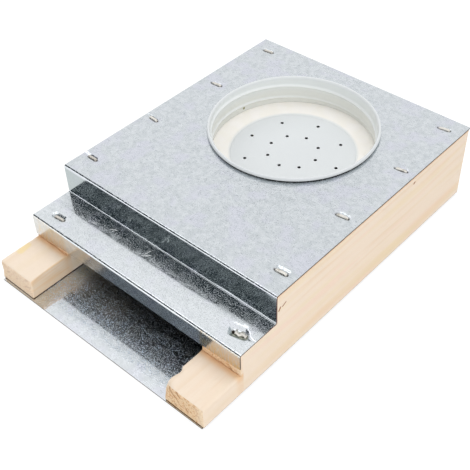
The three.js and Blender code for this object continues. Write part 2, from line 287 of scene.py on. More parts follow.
def lines_between(low, high, fine_places, fine_reach, fine, coarse):
    """Grid lines from low to high, close together within a reach of each fine place."""
    edges = [low, high]
    for centre in fine_places:
        edges += [max(centre - fine_reach, low), min(centre + fine_reach, high)]
    edges = np.unique(np.round(edges, 4))
    runs = []
    for start, end in zip(edges[:-1], edges[1:]):
        middle = (start + end) / 2
        near = any(abs(middle - centre) < fine_reach for centre in fine_places)
        runs.append(spread(start, end, fine if near else coarse))
    return joined(*runs)


def unit_rows(vectors):
    """Each vector divided by its length."""
    return vectors / np.linalg.norm(vectors, axis=1)[:, None]


def turned_points(centre, radius, angles, height):
    """Points at a radius, an angle and a height round an upright axis."""
    x, y = centre[0] + radius * np.cos(angles), centre[1] + radius * np.sin(angles)
    return np.stack([x, y, height], axis=-1)


# Staples

OUTWARD = {"plate": (0, 0, 1), "step": (0, 0, 1), "floor": (0, 0, -1), "back": (0, 1, 0)}
# From a crown's middle to the ends of the line that its dent follows, and to the pits beside its legs
CROWN_REACH = 2.1
PIT_REACH = 2.8


def node_points(node):
    """Corner points of a CAD node in millimetres."""
    return vertex_points(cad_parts[node].data)


def staple_frames():
    """Each staple's crown centre and its directions along the crown, across it and out of the sheet.

    The crown's direction is the longest axis of the node's points once their height is left out.
    """
    frames = {}
    for node in sorted(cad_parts):
        if "staple" not in node:
            continue
        outward = np.array(OUTWARD[node.split("_")[0]], float)
        points = node_points(node)
        heights = points @ outward
        flat = points - np.outer(heights, outward)
        centre = (flat.min(0) + flat.max(0)) / 2
        directions = np.linalg.eigh(np.cov((flat - centre).T))[1]
        crown = directions[:, 2] * np.sign(directions[0, 2])
        frames[node] = SimpleNamespace(
            top=centre + outward * heights.max(),
            crown=crown,
            across=np.cross(outward, crown),
            outward=outward,
        )
    return frames


STAPLES = staple_frames()
MANGLED = "step_staple_right"
# How dull each crown is, and how dark the painted shade of the ring round it and of the spots at its left and
# right ends is
USUAL_LOOK = (0.1, 0.3, 0.95, 0.25)
LOOKS = {
    "plate_staple_left_1": (0.45, 0.32, 0.25, 0.25),
    "plate_staple_left_2": (0.1, 0.35, 0.4, 0.3),
    "plate_staple_left_3": (0.1, 0.35, 0.9, 0.2),
    "plate_staple_left_4": (0.35, 0.4, 0.3, 0.8),
    "plate_staple_right_4": (0.1, 0.45, 0.9, 0.4),
    "step_staple_left": (0.35, 0.15, 0.0, 0.2),
    MANGLED: (0.12, 0.0, 1.0, 0.0),
}


def from_crown(points, staple):
    """How far points lie along a staple's crown, across it and out of its sheet."""
    local = points - staple.top
    return local @ staple.crown, local @ staple.across, local @ staple.outward


def past_reach(along, across, reach):
    """Distance from a straight line that reaches as far to either side of the crown's middle."""
    return np.hypot(np.maximum(np.abs(along) - reach, 0), across)


def dent_depth(points, normals):
    """How far the staples push a sheet in at each point.

    Along each crown runs a straight line, as long as the crown less its width. The depth goes by the
    distance from that line: a narrow slot under the wire, in a wide shallow bowl with even slopes. A
    small pit lies at either end, where a leg goes in, and the sheet slumps a little all round. The
    staple that was struck twice lies in a deep oval cup instead, flat at its bottom.
    """
    s = sizes()
    depth = np.zeros(points.shape[:-1])
    for node, staple in STAPLES.items():
        along, across, height = from_crown(points, staple)
        facing = (normals @ staple.outward > 0.99) & (np.abs(height) < 3)
        distance = past_reach(along, across, CROWN_REACH)
        pits = 1 - smooth_step(0.15, 0.7, np.hypot(np.abs(along) - PIT_REACH, across))
        slump = 0.07 * bell(distance, 5)
        if node == MANGLED:
            reach = np.where(across > 0, 4.2, 2.2)
            shifted = along + 0.4 + 0.5 * np.maximum(across, 0)
            cup = 1 - past_reach(shifted, across / reach * 2.4, 2.2) / 2.4
            push = 1.1 * smooth_ramp(cup) + 0.25 * pits + slump
        else:
            bowl = smooth_ramp((2.5 - distance) / 2.05)
            slot = 1 - smooth_step(0.5, 1.0, distance)
            push = bowl * s.dent_depth + slot * s.slot_depth + 0.45 * pits + slump
        depth += np.where(facing, push, 0)
    return depth


def crushed_shade(points):
    """1 on the near slope and the bottom of the crushed staple's cup, painted darker there as shade over the
    crumpled zinc.
    """
    along, across, height = from_crown(points, STAPLES[MANGLED])
    distance = past_reach(along, (across + 0.5) / 1.05, 1.9)
    return np.where(np.abs(height) < 2.2, 1 - smooth_step(1.3, 1.9, distance), 0)


def dent_shade(points):
    """How dark each point is painted: a thin line round each crown and spots where the legs go in, painted
    shade of the gaps over a little torn and rusty zinc.
    """
    shade = np.zeros(len(points))
    for node, staple in STAPLES.items():
        along, across, height = from_crown(points, staple)
        distance = past_reach(along, across, CROWN_REACH)
        ring = smooth_step(0.5, 0.66, distance) * (1 - smooth_step(0.8, 1.0, distance))
        left = 1 - smooth_step(0.3, 0.65, np.hypot(along + 2.75, across + 0.1))
        right = 1 - smooth_step(0.25, 0.55, np.hypot(along - 2.75, across))
        if node == MANGLED:
            left = 1 - smooth_step(0.4, 0.75, np.hypot((along + 2.95) / 1.3, across - 0.5))
        _, dark_ring, dark_left, dark_right = LOOKS.get(node, USUAL_LOOK)
        one = np.maximum(dark_ring * ring, np.maximum(dark_left * left, dark_right * right))
        shade = np.maximum(shade, np.where(np.abs(height) < 2.2, one, 0))
    return shade


def staple_path(half_crown, leg, thick):
    """Middle line of a staple's wire: a straight leg, a quarter turn, the crown, and the same again."""
    bend = thick / 2 + 0.3
    reach = half_crown - thick / 2
    turn = np.linspace(0, np.pi / 2, 7)
    corner = np.stack([-reach + bend * (1 - np.cos(turn)), -thick / 2 - bend * (1 - np.sin(turn))], axis=1)
    across_crown = spread(-reach + bend, reach - bend, 0.45)[1:-1]
    crown = np.stack([across_crown, np.full(len(across_crown), -thick / 2)], axis=1)
    legs = np.linspace(-leg, -thick / 2 - bend, 5)[:-1]
    half_path = np.concatenate([np.stack([np.full(len(legs), -reach), legs], axis=1), corner])
    return np.concatenate([half_path, crown, half_path[::-1] * [-1, 1]]), reach


def staple_wire(node):
    """One staple: a flat wire with rounded edges, carried along two legs and a slightly sagging crown.

    The section is a rounded rectangle whose corners are quarter circles. The staple that was struck
    twice is waved, wider and bent to one side by sine waves along its crown.
    """
    s = sizes()
    staple = STAPLES[node]
    points = node_points(node)
    half_crown = np.abs((points - staple.top) @ staple.crown).max()
    thick, corner = s.wire_thickness, s.wire_round
    path, reach = staple_path(half_crown, np.ptp(points @ staple.outward), thick)
    tangent = unit_rows(np.gradient(path, axis=0))
    normal = np.stack([-tangent[:, 1], tangent[:, 0]], axis=1)
    angle = np.linspace(0, 2 * np.pi, 16, endpoint=False) + np.pi / 16
    side = np.cos(angle) * corner + np.sign(np.cos(angle)) * (s.wire_width / 2 - corner)
    rise = np.sin(angle) * corner + np.sign(np.sin(angle)) * (thick / 2 - corner)
    flat = path[:, None, :] + normal[:, None, :] * rise[None, :, None]
    along, up = flat[..., 0], flat[..., 1]
    share = np.clip(np.abs(along) / reach, 0, 1)
    sag = -0.06 * (1 - share**2)
    sideways = np.broadcast_to(side, along.shape)
    lean = 0.05 * np.sin(along * 1.3 + len(node))
    if node == MANGLED:
        sag = sag - 0.2 + 0.17 * np.sin(along * 2.9 + 0.4) + 0.11 * np.sin(along * 5.3 + sideways * 4)
        lean = lean + 0.45 + 0.4 * np.sin(along * 1.9) - 0.15 * sideways * np.sin(along * 3.7)
        sideways = sideways * (1.7 + 0.5 * np.sin(along * 2.3 + 1))
    on_top = smooth_step(-3, -1, up)
    solid = (
        staple.top
        + along[..., None] * staple.crown
        + (sideways + lean * on_top)[..., None] * staple.across
        + (up + sag * on_top)[..., None] * staple.outward
    )
    rows, columns = along.shape
    ends = np.stack([np.arange(columns)[::-1], np.arange(columns) + (rows - 1) * columns])
    return solid.reshape(-1, 3), [grid_faces(rows, columns, wrap_columns=True), ends]


def make_staple(node):
    """One staple, with how deep and how dull its wire is for the material."""
    mesh = make_mesh(f"{node}_wire", *staple_wire(node), 50)
    height = from_crown(vertex_points(mesh), STAPLES[node])[2]
    add_layer(mesh, "sunk", -height)
    add_layer(mesh, "dull", np.full(len(height), LOOKS.get(node, USUAL_LOOK)[0]))
    place(f"{node}_wire", mesh, BOX, "staple_wire", ["galvanised staple wire"], node)


# Sheets


def bent_path(corners, bend_radius, stations):
    """Points, outward normals and run numbers along a strip's middle line, bent at its corners.

    Each straight run keeps the stations given for it, as distances from its start corner. Each bend
    is an arc round a centre that lies one bend radius inside the corner, and has the run number -1.
    """
    points, normals, runs = [], [], []
    last = len(corners) - 2
    for number in range(last + 1):
        start, end = corners[number], corners[number + 1]
        reach = np.linalg.norm(end - start)
        along = (end - start) / reach
        side = np.array([along[1], -along[0]])
        first = bend_radius if number else 0
        final = reach - (bend_radius if number < last else 0)
        inner = stations[number]
        distances = joined([first, final], inner[(inner > first) & (inner < final)])
        points.append(start + distances[:, None] * along)
        normals.append(np.broadcast_to(side, (len(distances), 2)))
        runs.append(np.full(len(distances), number))
        if number < last:
            following = corners[number + 2] - end
            turn = np.sign(along[0] * following[1] - along[1] * following[0])
            centre = start + final * along - turn * bend_radius * side
            angle = turn * np.linspace(0, np.pi / 2, 9)[1:-1]
            cosine, sine = np.cos(angle), np.sin(angle)
            swung = np.stack([side[0] * cosine - side[1] * sine, side[0] * sine + side[1] * cosine], axis=1)
            points.append(centre + turn * bend_radius * swung)
            normals.append(swung)
            runs.append(np.full(len(angle), -1))
    return np.concatenate(points), np.concatenate(normals), np.concatenate(runs)


# Waves, as ripple takes them, that bending leaves in the sheets
SHEET_WAVES = [(0.011, 0.007, 0.006, 0.3), (-0.006, 0.019, 0.011, 1.9), (0.023, -0.004, 0.017, 4.0)]


def sheet_piece(name, node, corners, stations, across, reshape, keep=None):
    """A bent sheet with dents, made as one closed shell round its middle surface.

    The middle surface is the bent path carried across the feeder. Its outer face is pushed in by the
    dents and by slow waves, and the inner face follows it one gauge further in.
    """
    s = sizes()
    gauge = s.sheet_gauge
    path, sides, runs = bent_path(corners, s.fold_radius + gauge / 2, stations)
    middle = np.empty((len(path), len(across), 3))
    middle[..., 0] = across[None, :]
    middle[..., 1:] = path[:, None, :]
    middle = reshape(middle, runs)
    normals = np.zeros_like(middle)
    normals[..., 1:] = sides[:, None, :]
    outer = middle + normals * gauge / 2
    slow = s.sheet_wave * (ripple(outer, SHEET_WAVES) - 1) / 2
    push = slow - dent_depth(outer, normals)
    outer = outer + normals * push[..., None]
    inner = outer - normals * gauge
    quads = grid_faces(len(path), len(across), keep=keep and keep(middle, runs))
    points, top, bottom, walls = shell(outer.reshape(-1, 3), inner.reshape(-1, 3), quads)
    mesh = make_mesh(name, points, [top, bottom, walls])
    add_layer(mesh, "torn_zinc", dent_shade(vertex_points(mesh)))
    add_layer(mesh, "crushed_zinc", crushed_shade(vertex_points(mesh)))
    counts = (len(top) + len(bottom), len(walls))
    materials = ["galvanised sheet steel", "sheared steel edge"]
    place(name, mesh, BOX, "galvanised_sheet", materials, node, face_counts=counts)


# Height of the lip's lower edge at places across the feeder, read off the photo
LIP_EDGE = ((-57, -36, -23, 6, 32, 40, 57), (11.75, 12.6, 13.15, 13.55, 13.35, 13.6, 14.5))
# How far the blend from square to round reaches past the hole's edge
HOLE_BLEND = 7.5
# How far from the middle the rows of staples lie, in the plates and in the floor
STAPLE_ROW = 48.6
FLOOR_ROW = 47.4
# Numbers of the top sheet's first and last straight run
PLATE_RUN = 0
LIP_RUN = 3


def make_top_sheet():
    """Upper plate, riser, lower plate and lip of one sheet, with the lid's hole.

    Round the hole, the square rings of grid cells are blended into circles: a point keeps its ring
    number and moves from its place on the square to the circle of the same size, fully at the hole's
    edge and not at all a little way out. The lip's lower edge is a curve of the fourth degree through
    the heights in LIP_EDGE.
    """
    s = sizes()
    low, high = box_mm("top_sheet")
    lid_low, lid_high = box_mm("jar_lid")
    centre = (lid_low[:2] + lid_high[:2]) / 2
    hole = (lid_high[0] - lid_low[0]) / 2 - s.rim_width + s.hole_play
    blend_end = hole + HOLE_BLEND
    plate = high[2] - s.sheet_gauge / 2
    front = low[1] + s.sheet_gauge / 2
    riser = front + s.step_length
    step = plate - s.riser_height
    corners = np.array([[high[1], plate], [riser, plate], [riser, step], [front, step], [front, low[2]]])
    staple_y = [staple.top[1] for staple in STAPLES.values() if staple.outward[2] > 0]
    plate_y = [y for y in staple_y if y > riser]
    step_y = [y for y in staple_y if y < riser]
    block = np.array([-blend_end, -hole, hole, blend_end])

    def grid_lines(start, end, middle, fine_places, fine_reach, fine):
        """Grid lines across the plate, with one on each border of the hole's square and of its blend."""
        edges = [start, *(block + middle), end]
        pairs = zip(edges[:-1], edges[1:])
        return joined(*(lines_between(*pair, fine_places, fine_reach, fine, 2.4) for pair in pairs))

    stations = [
        high[1] - grid_lines(riser, high[1], centre[1], plate_y, 3.2, 0.46),
        spread(0, plate - step, 1.0),
        riser - lines_between(front, riser, step_y, 3.8, 0.4, 1.2),
        spread(0, step - low[2], 0.9),
    ]
    across = grid_lines(low[0], high[0], centre[0], [-STAPLE_ROW, STAPLE_ROW], 5.4, 0.42)

    def reshape(middle, runs):
        """Rounds the hole in the plate, and draws the lip down to its lower edge."""
        offset = middle[..., :2] - centre
        ring = np.abs(offset).max(-1)
        radius = np.maximum(np.linalg.norm(offset, axis=-1), 1e-6)
        circle = offset / radius[..., None] * ring[..., None]
        share = np.clip((ring - hole) / (blend_end - hole), 0, 1)[..., None]
        blended = circle * (1 - share) + offset * share
        on_plate = (runs == PLATE_RUN)[:, None, None] & (ring < blend_end)[..., None]
        middle[..., :2] = np.where(on_plate, blended + centre, middle[..., :2])
        lip = middle[runs == LIP_RUN]
        lip_top = lip[0, 0, 2]
        bottom = np.polyval(np.polyfit(*LIP_EDGE, 4), lip[..., 0])
        share_down = (lip_top - lip[..., 2]) / (lip_top - low[2])
        lip[..., 2] = lip_top - share_down * (lip_top - bottom)
        middle[runs == LIP_RUN] = lip
        return middle

    def keep(middle, runs):
        """Every cell but the plate's cells in the hole."""
        cells = (middle[:-1, :-1] + middle[1:, 1:]) / 2
        inside = np.linalg.norm(cells[..., :2] - centre, axis=-1) < hole
        on_plate = (runs[:-1] == PLATE_RUN) & (runs[1:] == PLATE_RUN)
        return ~(inside & on_plate[:, None])

    sheet_piece("zinc_top_sheet", "top_sheet", corners, stations, across, reshape, keep)


def make_floor_sheet():
    """Floor under the rails and the flange turned up behind them.

    The front edge is cut a little askew, and the skew fades out over the first 12 mm.
    """
    s = sizes()
    low, high = box_mm("floor_sheet")
    floor, flange = low[2] + s.sheet_gauge / 2, high[1] - s.sheet_gauge / 2
    corners = np.array([[low[1], floor], [flange, floor], [flange, high[2]]])
    under = [staple.top[1] for staple in STAPLES.values() if staple.outward[2] < 0]
    behind = [staple.top[2] for staple in STAPLES.values() if staple.outward[1] > 0]
    stations = [
        lines_between(low[1], high[1], under, 3.2, 0.5, 2.0) - low[1],
        lines_between(0, high[2], behind, 3.2, 0.5, 1.5),
    ]
    across = lines_between(low[0], high[0], [-FLOOR_ROW, FLOOR_ROW], 5.0, 0.5, 2.2)

    def skew(middle, runs):
        """Moves the front edge back, the more the further right."""
        share_right = (middle[..., 0] - low[0]) / (high[0] - low[0])
        share_front = np.clip(1 - (middle[..., 1] - low[1]) / 12, 0, 1)
        middle[..., 1] += s.floor_skew * share_right * share_front
        return middle

    sheet_piece("zinc_floor_sheet", "floor_sheet", corners, stations, across, skew)


# Lid

# Two rings of eight perforations: the angle between two of them, the rings' radii and their turn
SECTOR = math.pi / 4
RINGS = (11.35, 21.6)
RING_TURN = math.radians(7.3)
# Radius and rise of the panel over the channel round it, and radius of the cup's corner
PANEL_EDGE = 28.3
PANEL_RISE = 0.6
CUP_CORNER = 0.8
# How far the blend from square to round reaches from a perforation's middle
PERFORATION_BLEND = 1.7
# Where round the lid the thread's lap stands at its height under the rim
THREAD_START = math.radians(133)
THREAD_BELOW_TOP = 4.6


def lid_shape():
    """The lid's sizes in millimetres, from its CAD box and the sizes in the panel."""
    s = sizes()
    low, high = box_mm("jar_lid")
    rim_tall = 0.68 * s.rim_height
    return SimpleNamespace(
        centre=(low[:2] + high[:2]) / 2,
        top=high[2],
        tin=s.tin_gauge,
        rim_half=0.45 * s.rim_width,
        rim_tall=rim_tall,
        rim_z=high[2] - rim_tall,
        wall=(high[0] - low[0]) / 2 - s.rim_width,
        floor=low[2] + 0.5,
        panel=low[2] + 0.5 + PANEL_RISE,
        hole=s.hole_radius,
        pitch=s.thread_pitch,
        bead=s.thread_depth,
    )


def sector_angles(hole):
    """Angles of the lid's grid lines: eight alike sectors, closest together where the holes are."""
    key = sorted([0, SECTOR / 2, *(reach / ring for reach in (hole, PERFORATION_BLEND) for ring in RINGS)])
    steps = [4, 4, 2, 4, 6]
    runs = [np.linspace(a, b, n + 1) for a, b, n in zip(key[:-1], key[1:], steps)]
    one_side = joined(*runs)[:-1]
    sector = joined(-one_side, one_side, [-SECTOR / 2])
    return np.concatenate([sector + RING_TURN + index * SECTOR for index in range(8)])


def lid_profile(lid):
    """Inside of the cup from its axis out, and how many of its points lie on the panel.

    It runs out over the panel, down into the channel, round the corner, up the wall and over the
    rolled rim. The roll is an ellipse, lower and wider below its middle.
    """

    def across_ring(ring):
        """Radii of the grid lines across one ring of holes."""
        start, end = ring - lid.hole, ring + lid.hole
        outer = [spread(ring - PERFORATION_BLEND, start, 0.32), spread(end, ring + PERFORATION_BLEND, 0.32)]
        return joined(*outer, spread(start, end, 0.25))

    inner_ring, outer_ring = (across_ring(ring) for ring in RINGS)
    between_rings, outside = spread(13.1, 19.8, 1.7), spread(23.4, PANEL_EDGE, 1.6)
    panel_r = joined([0, 3, 6], spread(7.5, 9.6, 1), inner_ring, between_rings, outer_ring, outside)
    channel_r = joined(PANEL_EDGE + np.array([0.2, 0.4, 0.6]), spread(30, lid.wall - CUP_CORNER, 1.6))
    channel_z = lid.panel - PANEL_RISE * smooth_step(PANEL_EDGE, PANEL_EDGE + 0.6, channel_r)
    bend = np.linspace(-np.pi / 2, 0, 7)[1:]
    wall_z = spread(lid.floor + CUP_CORNER, lid.rim_z, 0.3)[1:-1]
    roll = np.linspace(np.pi, -np.pi * 0.42, 22)
    wide, tall = np.where(roll > 0, 1, 1.15), np.where(roll > 0, 1, 0.62)
    roll_r = lid.wall + 2 * lid.rim_half - lid.rim_half * wide * (1 - np.cos(roll))
    runs = [
        (panel_r, np.full(len(panel_r), lid.panel)),
        (channel_r, channel_z),
        (lid.wall - CUP_CORNER * (1 - np.cos(bend)), lid.floor + CUP_CORNER * (1 + np.sin(bend))),
        (np.full(len(wall_z), lid.wall), wall_z),
        (roll_r, lid.rim_z + lid.rim_tall * tall * np.sin(roll)),
    ]
    return np.concatenate([np.stack(run, axis=1) for run in runs]), len(panel_r)


def with_thread(lid, radius, height, swing):
    """The wall's radius with the thread on it, and a mask of the thread's crest.

    The thread is a bell curve across the wall, whose centre rises by one pitch a turn and which
    fades at both ends.
    """
    crest = np.zeros_like(radius)
    climb = lid.pitch * (swing - THREAD_START) / (2 * np.pi)
    below_rim = smooth_step(lid.rim_z - 0.2, lid.rim_z - 1.8, height)
    on_wall = below_rim * smooth_step(lid.floor + 1.8, lid.floor + 6.6, height)
    for lap in (-1, 0, 1, 2):
        middle = lid.top - THREAD_BELOW_TOP - lap * lid.pitch + climb
        bead = lid.bead * bell(height - middle, 0.75)
        radius = radius - np.where(radius > lid.wall - 2, bead * on_wall, 0)
        crest = np.maximum(crest, bell(height - middle - 0.3, 0.7) * on_wall)
    return radius, crest


def with_perforations(lid, radius, height, swing, ring, on_panel):
    """Blends the square rings of cells round each hole of a ring into circles, sunk a little at the hole."""
    sector = np.round((swing - RING_TURN) / SECTOR) * SECTOR + RING_TURN
    along, out = ring * (swing - sector), radius - ring
    square = np.maximum(np.abs(along), np.abs(out))
    near = (square < PERFORATION_BLEND) & on_panel
    stretch = square / np.maximum(np.hypot(along, out), 1e-6)
    share = np.clip((square - lid.hole) / (PERFORATION_BLEND - lid.hole), 0, 1)
    scale = stretch * (1 - share) + share
    swing = np.where(near, sector + along * scale / ring, swing)
    radius = np.where(near, ring + out * scale, radius)
    return radius, height - np.where(near, 0.06 * (1 - share) ** 2, 0), swing


def lid_surface(lid, line, angles):
    """A line turned round the lid's axis, with its thread and perforations, and the crest's mask."""
    radius, height = line[:, :1] + 0 * angles, line[:, 1:] + 0 * angles
    swing = angles + 0 * radius
    radius, crest = with_thread(lid, radius, height, swing)
    on_panel = (radius < PANEL_EDGE) & (line[:, :1] > 1)
    for ring in RINGS:
        radius, height, swing = with_perforations(lid, radius, height, swing, ring, on_panel)
    return turned_points(lid.centre, radius, swing, height), crest


def lid_cells(lid, panel_r, rows, angles):
    """Which cells of the lid's grid stay: all but those in a perforation, and the row round the axis."""
    cells = np.ones((rows - 1, len(angles)), bool)
    cells[0] = False
    middle_r = (panel_r[1:] + panel_r[:-1]) / 2
    next_angle = np.roll(angles, -1)
    next_angle[-1] += 2 * np.pi
    middle_a = (angles + next_angle) / 2 - RING_TURN
    middle_a = middle_a - np.round(middle_a / SECTOR) * SECTOR
    for ring in RINGS:
        gone = (np.abs(middle_r - ring) < lid.hole)[:, None] & (np.abs(middle_a * ring) < lid.hole)[None, :]
        cells[: len(middle_r)] &= ~gone
    return cells


def make_lid():
    """Perforated jar lid: a turned profile, with a rolled thread on its wall and a fan at its axis."""
    lid = lid_shape()
    angles = sector_angles(lid.hole)
    profile, on_panel = lid_profile(lid)
    tangent = unit_rows(np.gradient(profile, axis=0))
    back = profile + np.stack([tangent[:, 1], -tangent[:, 0]], axis=1) * lid.tin
    back[0, 0] = 0
    outer, outer_crest = lid_surface(lid, profile, angles)
    inner, inner_crest = lid_surface(lid, back, angles)
    cells = lid_cells(lid, profile[:on_panel, 0], len(profile), angles)
    quads = grid_faces(len(profile), len(angles), wrap_columns=True, keep=cells)
    points, top, bottom, walls = shell(outer.reshape(-1, 3), inner.reshape(-1, 3), quads)
    behind = len(points) // 2
    first = np.arange(len(angles)) + len(angles)
    walls = walls[~(np.isin(walls[:, 0], first) & np.isin(walls[:, 1], first))]
    following = np.roll(first, -1)
    pole_top, pole_bottom = np.full(len(first), len(points)), np.full(len(first), len(points) + 1)
    points = np.concatenate([points, [[*lid.centre, lid.panel], [*lid.centre, lid.panel - lid.tin]]])
    fan_top = np.stack([pole_top, following, first], axis=1)
    fan_bottom = np.stack([pole_bottom, first + behind, following + behind], axis=1)
    face_sets = [top[:, ::-1], fan_top, bottom[:, ::-1], walls[:, ::-1], fan_bottom]
    mesh = make_mesh("enamelled_lid", points, face_sets, 50)
    crests = np.concatenate([outer_crest.ravel(), inner_crest.ravel(), [0, 0]])
    add_layer(mesh, "thread_crest", used_only(crests, face_sets)[0])
    counts = (len(top) + len(fan_top), len(bottom) + len(walls) + len(fan_bottom))
    # The black outside also stands in for the shade under the rim and in the holes.
    materials = ["enamelled tinplate", "black lacquered tinplate"]
    place("enamelled_lid", mesh, LID, "enamelled_tinplate", materials, "jar_lid", face_counts=counts)


def make_gasket():
    """Ring of sealing compound, flowed in: a closed profile turned round the lid's axis.

    Its upper line starts as a feather edge on the panel, rises in a smooth step to the channel's
    border and from there in a straight slope to the wall. The feather edge wavers a little.
    """
    lid = lid_shape()
    low, high = box_mm("lid_gasket")
    wall, hair = lid.wall - 0.05, 0.02
    feather, flat = 27.5, 28.7
    upper_r = np.concatenate([spread(feather, flat, 0.3), spread(flat, wall, 1.2)[1:]])
    slope = sizes().gasket_climb * np.clip((upper_r - flat) / (wall - flat), 0, 1)
    upper_z = lid.panel + hair + (high[2] - lid.panel - hair) * smooth_step(feather, flat, upper_r) + slope
    foot = low[2] + 0.03
    under = np.array([[wall, low[2] + 0.9], [wall - 0.7, foot], [28.95, foot], [28.2, lid.panel + hair]])
    profile = np.concatenate([np.stack([upper_r, upper_z], axis=1), under])
    angles = np.linspace(0, 2 * np.pi, 180, endpoint=False)
    radius, height = profile[:, :1] + 0 * angles, profile[:, 1:] + 0 * angles
    soft = 0.25 * np.sin(angles * 2 + 0.7) + 0.12 * np.sin(angles * 5 + 2)
    radius = radius + soft * np.clip((flat - profile[:, :1]) / (flat - feather), 0, 1)
    points = turned_points((low[:2] + high[:2]) / 2, radius, angles, height)
    faces = grid_faces(len(profile) + 1, len(angles), wrap_columns=True) % (len(profile) * len(angles))
    mesh = make_mesh("gasket_ring", points.reshape(-1, 3), [faces], 50)
    place("gasket_ring", mesh, LID, "gasket_compound", ["sealing compound"], "lid_gasket")


# Rails

# Distances of the grid lines from a rounded edge
ARRIS_LINES = np.array([0, 0.14, 0.3, 0.5, 0.78, 1.1, 1.5])


def block_faces(solid, columns):
    """Outer quads of a stack of cells, and which of them are cut across the grain.

    solid says for each cell of the side view whether it holds wood. Points are numbered across,
    then along, then up. First come the two flanks, then the faces cut across the grain, then the
    level ones.
    """
    along, up = solid.shape[0] + 1, solid.shape[1] + 1
    faces, ends = [], []

    def add_quads(x, iy, iz, corners, flip, cut):
        """Adds the quads whose corners lie at given steps from a point's numbers along each axis."""
        numbers = [((x + dx) * along + iy + dy) * up + iz + dz for dx, dy, dz in corners]
        quad = np.stack(numbers, axis=-1).reshape(-1, 4)
        faces.append(quad[:, ::-1] if flip else quad)
        ends.append(np.full(len(quad), cut))

    flank = ((0, 0, 0), (0, 0, 1), (0, 1, 1), (0, 1, 0))
    for x, flip in ((0, False), (columns - 1, True)):
        add_quads(x, *np.nonzero(solid), flank, flip, 0.0)
    padded = np.pad(solid, 1)
    cut_faces = (padded[:-1, 1:-1], padded[1:, 1:-1], ((0, 0, 0), (1, 0, 0), (1, 0, 1), (0, 0, 1)), 1.0)
    level_faces = (padded[1:-1, :-1], padded[1:-1, 1:], ((0, 0, 0), (0, 1, 0), (1, 1, 0), (1, 0, 0)), 0.0)
    x = np.arange(columns - 1)[:, None]
    for lower, upper, corners, cut in (cut_faces, level_faces):
        for flip, before, after in ((False, lower, upper), (True, upper, lower)):
            add_quads(x, *np.nonzero(after & ~before), corners, flip, cut)
    return np.concatenate(faces), np.concatenate(ends)


def eased(start, end, spacing, first=True, last=True):
    """Grid lines from start to end, with a few close ones at a rounded edge."""
    deep = ARRIS_LINES[-1]
    runs = [[start, end], spread(start + deep if first else start, end - deep if last else end, spacing)]
    if first:
        runs.append(start + ARRIS_LINES)
    if last:
        runs.append(end - ARRIS_LINES)
    return joined(*runs)


def round_arrises(points, low, high, radius):
    """Rounds a block's outside edges and corners.

    Each point is clamped into a box that is one radius smaller on every side, and then lies one
    radius away from that nearest point, in the direction that it was. Flat faces stay as they are.
    """
    nearest = np.minimum(np.maximum(points, low + radius[..., None]), high - radius[..., None])
    away = points - nearest
    distance = np.linalg.norm(away, axis=-1)
    rounded = nearest + away * (radius / np.maximum(distance, 1e-6))[..., None]
    return np.where((distance > 1e-6)[..., None], rounded, points)


def rail_shape(side):
    """One rail's box and the places of its steps and its kerf, in millimetres."""
    s = sizes()
    low, high = box_mm(f"{side}_rail")
    gap = s.sheet_gauge + 0.1
    lip = low[1] + s.tongue_length + gap
    tongue_top = low[2] + s.tongue_height
    low[2] += s.wood_lift
    return SimpleNamespace(
        right=side == "right",
        low=low,
        high=high,
        lip=lip,
        riser=lip + s.step_length,
        tongue_top=tongue_top,
        step_top=high[2] - s.riser_height,
        kerf_floor=tongue_top - s.kerf_depth,
        kerf_front=lip - gap - 0.1,
    )


def rail_lines(rail):
    """A rail's grid lines across, along and up, close together at its edges and under its staples."""
    low, high = rail.low, rail.high
    tops = [staple.top for staple in STAPLES.values()]
    staple_y = [top[1] for top in tops if top[0] * (low[0] + high[0]) > 0]
    body_end = high[1] - ARRIS_LINES[-1]
    along = joined(
        eased(low[1], rail.kerf_front, 0.8, last=False),
        spread(rail.kerf_front, rail.lip, 0.3),
        rail.lip + ARRIS_LINES[:3],
        lines_between(rail.lip + ARRIS_LINES[2], rail.riser, staple_y, 3.8, 0.5, 1.1),
        rail.riser + ARRIS_LINES[:3],
        lines_between(rail.riser + ARRIS_LINES[2], body_end, staple_y, 3.4, 0.5, 1.8),
        eased(body_end, high[1], 0.8, first=False),
    )
    up = joined(
        eased(low[2], rail.kerf_floor - 1.1, 0.9, last=False),
        rail.tongue_top - ARRIS_LINES[:6],
        [rail.kerf_floor],
        spread(rail.tongue_top, rail.step_top - 0.3, 1.0),
        rail.step_top - ARRIS_LINES[:3],
        spread(rail.step_top, high[2] - 0.5, 1.1),
        high[2] - ARRIS_LINES[:4],
    )
    return eased(low[0], high[0], 0.7), along, up


# Waves, as ripple takes them, of the edges' wear, of the sawn faces and of the torn edge
SLOW_WAVES = [(0.05, 0.09, 0.04, 0.6), (0.02, 0.23, 0.05, 2.0), (0.07, 0.41, 0.09, 4.4)]
SAWN_WAVES = [
    (0.31, 0.13, 0.24, 0.5),
    (-0.27, 0.21, 0.33, 2.2),
    (0.18, -0.37, 0.29, 3.9),
    (0.42, 0.09, -0.35, 5.1),
]
TORN_WAVES = [(0, 0.29, 0, 2.6), (0, 0.62, 0, 0.4), (0, 0.97, 0, 1.3)]


def arris_radius(rail, points):
    """Rounding of the wood's edges: uneven, less at the foot, more at the tongue's end and outer edge."""
    s = sizes()
    x, y, z = np.moveaxis(points, -1, 0)
    foot = rail.low[2]
    radius = s.arris_radius * (1 + 0.3 * ripple(points, SLOW_WAVES))
    radius = radius * (0.45 + 0.55 * smooth_step(foot, foot + 3, z))
    near_end = bell(y - rail.low[1], 3.5)
    outer_x = rail.high[0] if rail.right else rail.low[0]
    outer_arris = bell(x - outer_x, 3) * (y < rail.lip) * (z > 5)
    high_up = smooth_step(foot + 1.5, foot + 4.5, z)
    return radius + (s.tongue_radius - radius) * np.maximum(near_end, 0.8 * outer_arris) * high_up


